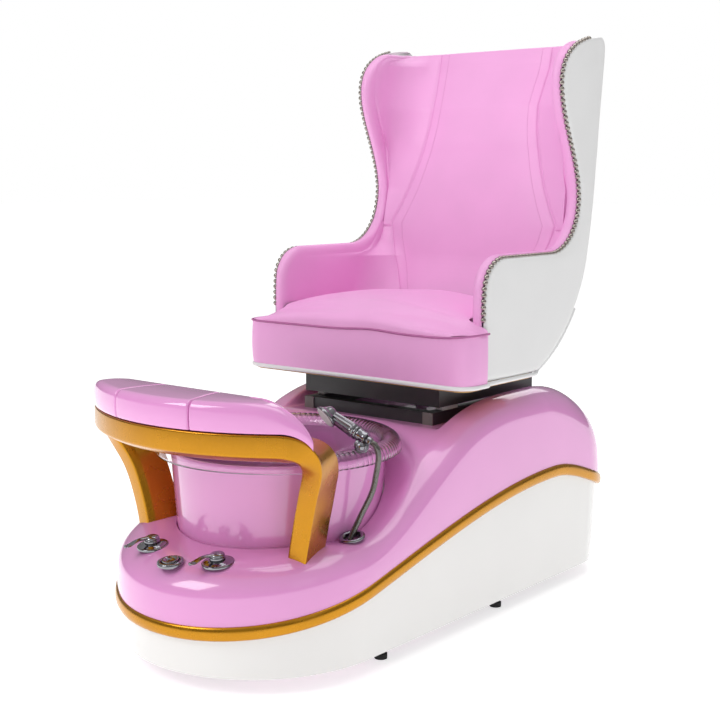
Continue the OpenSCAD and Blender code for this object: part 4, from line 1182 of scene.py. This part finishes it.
def inside_half():
    """Rows of points over one side's lining and half the back.

    From the nails, over the rolled lip, to the middle.
    """
    at = inside_stations()
    f, zb = matched_rows(at, BACK_TOP)
    f[:, 1] = LIP_TOP - 4 * np.logaddexp(0, (LIP_TOP - f[:, 1]) / 4)
    off = branch_distance(at)
    front_dir = np.gradient(f, axis=0)
    rows = []
    for k, ((fy, fz), z) in enumerate(zip(f, zb)):
        t = unit(front_dir[k])
        away = arr(-t[1], t[0])
        room = float(rear_y(z, pad_depth(z))) - fy
        inner = 16.0 * smooth((LIP_TOP - fz) / 90) * smooth((room - 15) / 60)
        sec = section(z, fy + inner)
        s = arc_length(sec)
        s_seam = float(np.interp(-np.interp(z, SEAM[:, 1], SEAM[:, 0]), -sec[:, 0], s))
        row = []
        for a in np.radians(np.linspace(-70, 90, LIP_STEPS)):
            y, zz = arr(fy, fz) + away * (LIP_R * 0.62 * cos(a) - 1.0 - (inner * (1 - cos(a))
                    if a > 0 else 0))
            row.append((IN_X + 17.0 - (LIP_R + 1.5) * sin(a), y, zz))
        start, end = arr(fy, fz) - away * (3.0 + inner), arr(sec[0][1], z)
        fade = min(1.0, (TOP_Z + 12 - z) / 60)
        puff_end = PUFF * sin(pi / 2 * min(1, s_seam / PUFF_REACH)) * fade
        for q in np.linspace(0, 1, LINING_STEPS + 2)[1:-1]:
            y, zz = start + (end - start) * q ** 1.25
            puff = puff_end * sin(pi / 2 * q) - seam_dent(off[k]) * min(1, q * 8)
            row.append((IN_X + 0.4 - puff, y, zz))
        marks = np.concatenate([np.linspace(0, s_seam - 18, SIDE_STEPS), s_seam + np.array(SEAM_MARKS),
                                np.linspace(s_seam + 18, s[-1], 26)])
        for m in marks:
            x, y = float(np.interp(m, s, sec[:, 0])), float(np.interp(m, s, sec[:, 1]))
            dx = np.interp(m + 2, s, sec[:, 0]) - np.interp(m - 2, s, sec[:, 0])
            dy = np.interp(m + 2, s, sec[:, 1]) - np.interp(m - 2, s, sec[:, 1])
            inward = unit((dy, -dx)) if abs(dx) + abs(dy) > 1e-6 else arr(0, -1)
            if inward @ arr(-x, -1) < 0:
                inward = -inward
            full = PUFF * sin(pi / 2 * min(1, abs(m - s_seam) / PUFF_REACH))
            dent = seam_dent(m - s_seam)
            if m < s_seam:
                dent = max(dent, seam_dent(off[k]))
            x, y = arr(x, y) + inward * (full - dent) * fade
            row.append((x, y, z))
        rows.append(row)
    rows = np.array(rows)
    rows[:, :, 0] *= lean_in(rows[:, :, 2])
    return rows


def stitches(paths, normals, length=4.4, pitch=6.2, radius=0.55):
    """Short threads laid along paths on a surface."""
    parts = []
    for path, nrm in zip(paths, normals):
        s = arc_length(path)
        for a in np.arange(3, s[-1] - length, pitch):
            q = a + length * np.array([0, 0.12, 0.5, 0.88, 1])
            p = np.column_stack([np.interp(q, s, path[:, i]) for i in range(3)])
            n = np.column_stack([np.interp(q, s, nrm[:, i]) for i in range(3)])
            lift = np.array([-0.5, 0.15, 0.35, 0.15, -0.5])[:, None]
            parts.append(tube(p + n * lift, radius * np.array([0.5, 1, 1, 1, 0.5]), 6))
    return join_parts(parts)


def grid_normals(g):
    n = np.cross(np.gradient(g, axis=0), np.gradient(g, axis=1))
    return n / np.maximum(np.linalg.norm(n, axis=2), 1e-9)[:, :, None]


def inside_cover():
    half = inside_half()
    # The top edge rolls back over the frame
    tops = []
    for dy, dz in ((3, 1.2), (9, 2.2), (16, 2.6), (22, 1.6), (26, -1), (27, -6)):
        r = half[-1].copy()
        r[:, 2] += dz
        r[:, 1] = np.minimum(r[:, 1] + dy, np.maximum(rear_y(TOP_Z) - 6, r[:, 1]))
        tops.append(r)
    grid = np.concatenate([half, np.array(tops)])
    full = np.concatenate([grid, grid[:, :-1][:, ::-1] * arr(-1, 1, 1)], axis=1)
    v, f = loft(full, closed=False)
    ob = piece("inside_cover", v, f, vinyl_pink, "seat",
               ["arm_lining_left", "arm_lining_right", "back_cushion"],
               "pink_vinyl", sharp=70)
    mod = ob.modifiers.new("thickness", "SOLIDIFY")
    mod.thickness, mod.offset = 3 * MM, -1.0
    # Topstitching: two rows beside each seam, and beside each branch from the wing's front edge
    nrm = grid_normals(half)
    nrm *= np.sign((nrm @ arr(0, -1, 0)).mean())
    off = branch_distance(inside_stations())
    paths, ups = [], []
    for d in (-STITCH, STITCH):
        c = SEAM_COL + SEAM_MARKS.index(d)
        paths.append(half[:, c])
        ups.append(nrm[:, c])
        r = int(np.argmin(np.abs(off - d)))
        paths.append(half[r, LIP_STEPS + 1:SEAM_COL - 3])
        ups.append(nrm[r, LIP_STEPS + 1:SEAM_COL - 3])
    for side in (1, -1):
        flip = arr(side, 1, 1)
        v, f = stitches([p * flip for p in paths], [n * flip for n in ups])
        piece("seam_stitching_" + side_name(side), v, f, thread_pink, "seat", slot="pink_vinyl", sharp=0)


inside_cover()


# ------------------------------------------------------------------ nails
NAIL_PITCH, FIRST_NAIL_Z, LAST_NAIL_Z = 14.6, 752, 1439


def nails(side):
    """Domed nails along the front edge, none of them quite square to it."""
    s = arc_length(FRONT)
    start = s[edge_at(FIRST_NAIL_Z)]
    at = np.arange(start, s[np.argmax(FRONT[:, 1] > LAST_NAIL_Z)], NAIL_PITCH)
    y = np.interp(at, s, FRONT[:, 0])
    z = np.interp(at, s, FRONT[:, 1])
    ty, tz = (np.interp(at + 2, s, FRONT[:, k]) - np.interp(at - 2, s, FRONT[:, k]) for k in (0, 1))
    dome = [(6.3, -1.0), (6.3, 0.5), (5.9, 1.6), (4.8, 2.9), (3.0, 3.9), (1.2, 4.3), (0.15, 4.4)]
    parts = []
    rng = random.Random(7)
    for a, b, c, d in zip(y, z, ty, tz):
        n = unit(arr(0, -d, c))
        face = unit(n + arr(side * 0.35 + rng.uniform(-0.04, 0.04), rng.uniform(-0.04, 0.04),
                            rng.uniform(-0.04, 0.04)))
        o = arr(side * (334.5 + rng.uniform(-0.3, 0.3)) * lean_in(b), a, b) + n * 2.4
        parts.append(closed_revolve(dome, 18, o, turn_to(face)))
    v, f = join_parts(parts)
    name = side_name(side)
    piece("nail_heads_" + name, v, f, nail_metal, "seat", ["nail_trim_" + name], "antique_nail", sharp=60)


nails(1)
nails(-1)


# ------------------------------------------------------------------ seat cushion
EAR, FRONT_Y, WELT_Z, BOTTOM_Z, BACK_Y, EAR_CORNER = 354.0, -80.0, 719.0, 600.5, 340.0, 58.0


def corner_line(points, radii, step):
    """A line through points with its corners rounded, in even steps."""
    pts = [points[0]]
    for i in range(1, len(points) - 1):
        a, b, c = arr(*points[i - 1]), arr(*points[i]), arr(*points[i + 1])
        u, v, d = unit(a - b), unit(c - b), radii[i - 1]
        pts += [tuple((1 - t) ** 2 * (b + u * d) + 2 * t * (1 - t) * b + t * t * (b + v * d))
                for t in np.linspace(0, 1, 9)]
    return resample(np.array(pts + [points[-1]], float), step=step)


def mirrored(line):
    return np.vstack([line, line[1:-1][::-1] * arr(-1, 1)])


def cushion_outline(step=9.0):
    """T-shaped plan: wide ears in front of the arms, then the body between them."""
    e, b = EAR, IN_X - 2.5
    p = [(0, FRONT_Y), (e, FRONT_Y), (e, 16.0), (b, 16.0), (b, BACK_Y), (0, BACK_Y)]
    return mirrored(corner_line(p, [EAR_CORNER, 9, 4, 20], step))


def outward(line):
    n = np.roll(line, -1, axis=0) - np.roll(line, 1, axis=0)
    n = np.column_stack([n[:, 1], -n[:, 0]])
    return n / np.maximum(np.linalg.norm(n, axis=1), 1e-6)[:, None]


def crown(x, y):
    """Height of the cushion's top above its welt."""
    u = np.clip(np.abs(x) / EAR, 0, 1)
    front = np.clip((y - FRONT_Y) / 185, 0, 1)
    back = smooth((BACK_Y + 40 - y) / 200)
    return 72 * (1 - u ** 2.5) ** 0.72 * np.sqrt(1 - (1 - front) ** 2) * (0.6 + 0.4 * back)


def welt_z(x):
    """The welt rises a little right of the middle and at the corner beside it."""
    return WELT_Z - 3 + 5.5 * np.exp(-((x - 70) / 75) ** 2) + 7.0 * np.clip((x - 230) / 124, 0, 1) ** 2


CLOTH_PRESSURE, CLOTH_CAP, CLOTH_FRAMES = 4.0, 9.0, 20


def settle(v, f, pinned):
    """Blows a closed form up by cloth simulation.

    Pinned points stay, and no point moves more than CLOTH_CAP.
    """
    me = bpy.data.meshes.new("cloth_form")
    me.from_pydata((v * MM).tolist(), [], [[int(i) for i in q] for q in f])
    ob = bpy.data.objects.new("cloth_form", me)
    scene.collection.objects.link(ob)
    ob.vertex_groups.new(name="pinned").add([int(i) for i in pinned], 1.0, "REPLACE")
    mod = ob.modifiers.new("cloth", "CLOTH")
    c = mod.settings
    c.quality, c.mass, c.vertex_group_mass = 5, 0.3, "pinned"
    c.tension_stiffness = c.compression_stiffness = 25
    c.shear_stiffness, c.bending_stiffness = 12, 2.0
    c.use_pressure, c.uniform_pressure_force = True, CLOTH_PRESSURE
    c.effector_weights.gravity = 0
    mod.point_cache.frame_start, mod.point_cache.frame_end = 1, CLOTH_FRAMES
    for k in range(1, CLOTH_FRAMES + 1):
        scene.frame_set(k)
    done = ob.evaluated_get(bpy.context.evaluated_depsgraph_get()).data
    moved = np.array([q.co[:] for q in done.vertices]) / MM
    scene.frame_set(1)
    bpy.data.objects.remove(ob)
    step = moved - v
    far = np.linalg.norm(step, axis=1)[:, None]
    return v + step * np.minimum(1, CLOTH_CAP / np.maximum(far, 1e-9))


def cushion_form():
    """Closed cushion: box sides that belly between the seams, a crowned top and a flat bottom."""
    rim = cushion_outline()
    n, out = len(rim), outward(rim)
    wz = welt_z(rim[:, 0])
    free = rim[:, 1] < 10
    rings = []
    for t, belly in ((0, -3.0), (0.03, -1.2), (0.1, 0.6), (0.25, 2.2), (0.45, 3.0), (0.65, 2.6),
                     (0.82, 1.4), (0.93, 0.0)):
        p = rim + out * np.where(free, belly, min(belly, 0.0))[:, None]
        rings.append(np.column_stack([p, BOTTOM_Z + (wz - BOTTOM_Z) * t]))
    rings.append(np.column_stack([rim, wz]))
    pts = [tuple(p) for p in rim]
    for y in np.arange(FRONT_Y + 8, BACK_Y - 4, 10):
        for x in np.arange(-350, 351, 10):
            side = IN_X - 8 if y > 6 else EAR - 5
            in_corner = y < FRONT_Y + EAR_CORNER and abs(x) > EAR - EAR_CORNER
            round_off = math.hypot(abs(x) - EAR + EAR_CORNER, y - FRONT_Y - EAR_CORNER) > EAR_CORNER - 6
            if abs(x) < side and not (in_corner and round_off):
                pts.append((float(x), float(y)))
    xy, faces = triangulated(pts, ring_edges(0, n))
    top = (np.column_stack([xy, welt_z(xy[:, 0]) + crown(xy[:, 0], xy[:, 1])]), [list(t) for t in faces])
    box = loft(rings, caps=False)
    under = xy.copy()
    under[:n] = rings[0][:, :2]
    bottom = (np.column_stack([under, np.full(len(xy), BOTTOM_Z)]), [list(t)[::-1] for t in faces])
    return rim, wz, join_parts([box, top, bottom])


def gathers(p):
    """Small puckers that run into the welt, strongest at the front corners."""
    x, y, z = p.T
    along = np.where(y < FRONT_Y + 12, x, np.sign(x) * (EAR + y - FRONT_Y))
    wave = np.sin(along / 3.1 + 1.7 * np.sin(along / 23)) * (0.45 + 0.55 * np.sin(along / 37 + 1))
    near = np.exp(-((z - welt_z(x)) / 16) ** 2) * (y < 14) * (np.abs(z - welt_z(x)) > 1.0)
    return 0.8 * wave * near * (0.4 + smooth((np.abs(x) - 200) / 130))


def seat_cushion():
    """The seat cushion, blown up and gathered, with the welt cord in its top seam."""
    rim, wz, (v, f) = cushion_form()
    # Weld the seams so that the form is closed before it is blown up
    me = bpy.data.meshes.new("form")
    me.from_pydata(v.tolist(), [], [[int(i) for i in q] for q in f])
    bm = bmesh.new()
    bm.from_mesh(me)
    bmesh.ops.remove_doubles(bm, verts=bm.verts, dist=0.3)
    bmesh.ops.recalc_face_normals(bm, faces=bm.faces)
    v = np.array([q.co[:] for q in bm.verts])
    f = [[q.index for q in face.verts] for face in bm.faces]
    bm.free()
    seam = np.abs(v[:, 2] - welt_z(v[:, 0])) < 0.3
    hidden = (v[:, 2] < BOTTOM_Z + 4) | ((v[:, 1] > 8) & (v[:, 2] < WELT_Z + 3))
    v = settle(v, f, np.where(seam | hidden)[0])
    ob = piece("seat_form", v, f, vinyl_pink, None, sharp=0, subdivide=1)
    done = ob.evaluated_get(bpy.context.evaluated_depsgraph_get()).data
    v = np.array([q.co[:] for q in done.vertices]) / MM
    nrm = np.array([q.normal[:] for q in done.vertices])
    f = [list(q.vertices) for q in done.polygons]
    bpy.data.objects.remove(ob)
    v = v + nrm * gathers(v)[:, None]
    # Behind the sitter the cushion stops at the back's board
    v[:, 1] = np.minimum(v[:, 1], rear_y(v[:, 2]) - 34)
    ob = piece("seat_pad", v, f, vinyl_pink, "seat", ["seat_cushion"], "pink_vinyl", sharp=0)
    # The welt cord lies in the top seam, round the front from arm to arm
    out = outward(rim)
    n = len(rim)
    idx = [i for i in list(range(n // 2, n)) + list(range(n // 2)) if rim[i][1] < 15]
    path = np.array([(*(rim[i] + 1.2 * out[i]), wz[i] + 0.6) for i in idx])
    v, f = tube(resample(path, step=4), 2.8, 12)
    piece("seat_welt", v, f, welt_pink_shaded, "seat", slot="pink_vinyl")


seat_cushion()


# ------------------------------------------------------------------ bottom piping
def bottom_piping():
    """White piping round the seat's bottom edge, and up the lower corner of each side's rear edge."""
    line = corner_line([(0, -78), (353, -78), (353, 14), (340, 20), (340, 246), (330, 262)],
                       [EAR_CORNER, 5, 4, 14], 6)
    path = [(x, y, 600.5) for x, y in line] + [(329, y - 2, z - 2) for y, z in REAR[2:60:3]]
    left = [(-x, y, z) for x, y, z in path[1:]][::-1]
    v, f = tube(resample(catmull(left + path, 2), step=5), 5.4, 14)
    piece("bottom_piping_cord", v, f, vinyl_white, "seat", ["bottom_piping"], "white_vinyl")


bottom_piping()


# ------------------------------------------------------------------ floor and light
FLOOR_GLOW = 0.66  # what the floor sends out by itself, so that it reads as white


def stage():
    me = bpy.data.meshes.new("floor")
    s = 40.0
    me.from_pydata([(-s, -s, 0), (s, -s, 0), (s, s, 0), (-s, s, 0)], [], [[0, 1, 2, 3]])
    m = material("studio_floor", [0.88, 0.88, 0.88], 0.6, vary=0.01, vary_scale=0.4)
    shader = m.node_tree.nodes["Principled BSDF"]
    shader.inputs["Emission Color"].default_value = (1, 1, 1, 1)
    shader.inputs["Emission Strength"].default_value = FLOOR_GLOW
    me.materials.append(m)
    ob = bpy.data.objects.new("floor", me)
    scene.collection.objects.link(ob)


stage()


def softbox(name, at, aim, size, power):
    d = bpy.data.lights.new(name, "AREA")
    d.shape, d.size, d.size_y = "RECTANGLE", size[0], size[1]
    d.energy = power
    ob = bpy.data.objects.new(name, d)
    ob.location = at
    ob.rotation_euler = (Vector(aim) - Vector(at)).to_track_quat("-Z", "Y").to_euler()
    scene.collection.objects.link(ob)


softbox("key", (-1.4, -3.4, 3.2), (0, 0, 0.7), (1.8, 1.8), 50)
softbox("fill", (3.4, -1.6, 2.2), (0, 0, 0.6), (1.2, 2.2), 2.5)
softbox("top", (0.2, 0.2, 4.0), (0, 0, 0), (2.6, 2.6), 36)
softbox("rear", (-1.5, 3.6, 2.8), (0, 0, 0.8), (2.4, 2.0), 18)


def studio_world():
    """White backdrop; what it sheds on the object is brightest overhead and dimmer round the horizon."""
    world = bpy.data.worlds.new("studio")
    scene.world = world
    world.use_nodes = True
    n, l = world.node_tree.nodes, world.node_tree.links
    tc, sep = n.new("ShaderNodeTexCoord"), n.new("ShaderNodeSeparateXYZ")
    l.new(tc.outputs["Generated"], sep.inputs["Vector"])
    r = n.new("ShaderNodeMapRange")
    r.inputs["From Min"].default_value, r.inputs["From Max"].default_value = -0.1, 0.9
    r.inputs["To Min"].default_value, r.inputs["To Max"].default_value = 0.10, 0.62
    l.new(sep.outputs["Z"], r.inputs["Value"])
    glow = n["Background"]
    l.new(r.outputs["Result"], glow.inputs["Strength"])
    white, mix = n.new("ShaderNodeBackground"), n.new("ShaderNodeMixShader")
    path = n.new("ShaderNodeLightPath")
    white.inputs["Color"].default_value = (1, 1, 1, 1)
    glow.inputs["Color"].default_value = (1, 1, 1, 1)
    l.new(path.outputs["Is Camera Ray"], mix.inputs["Fac"])
    l.new(glow.outputs["Background"], mix.inputs[1])
    l.new(white.outputs["Background"], mix.inputs[2])
    l.new(mix.outputs["Shader"], n["World Output"].inputs["Surface"])


studio_world()
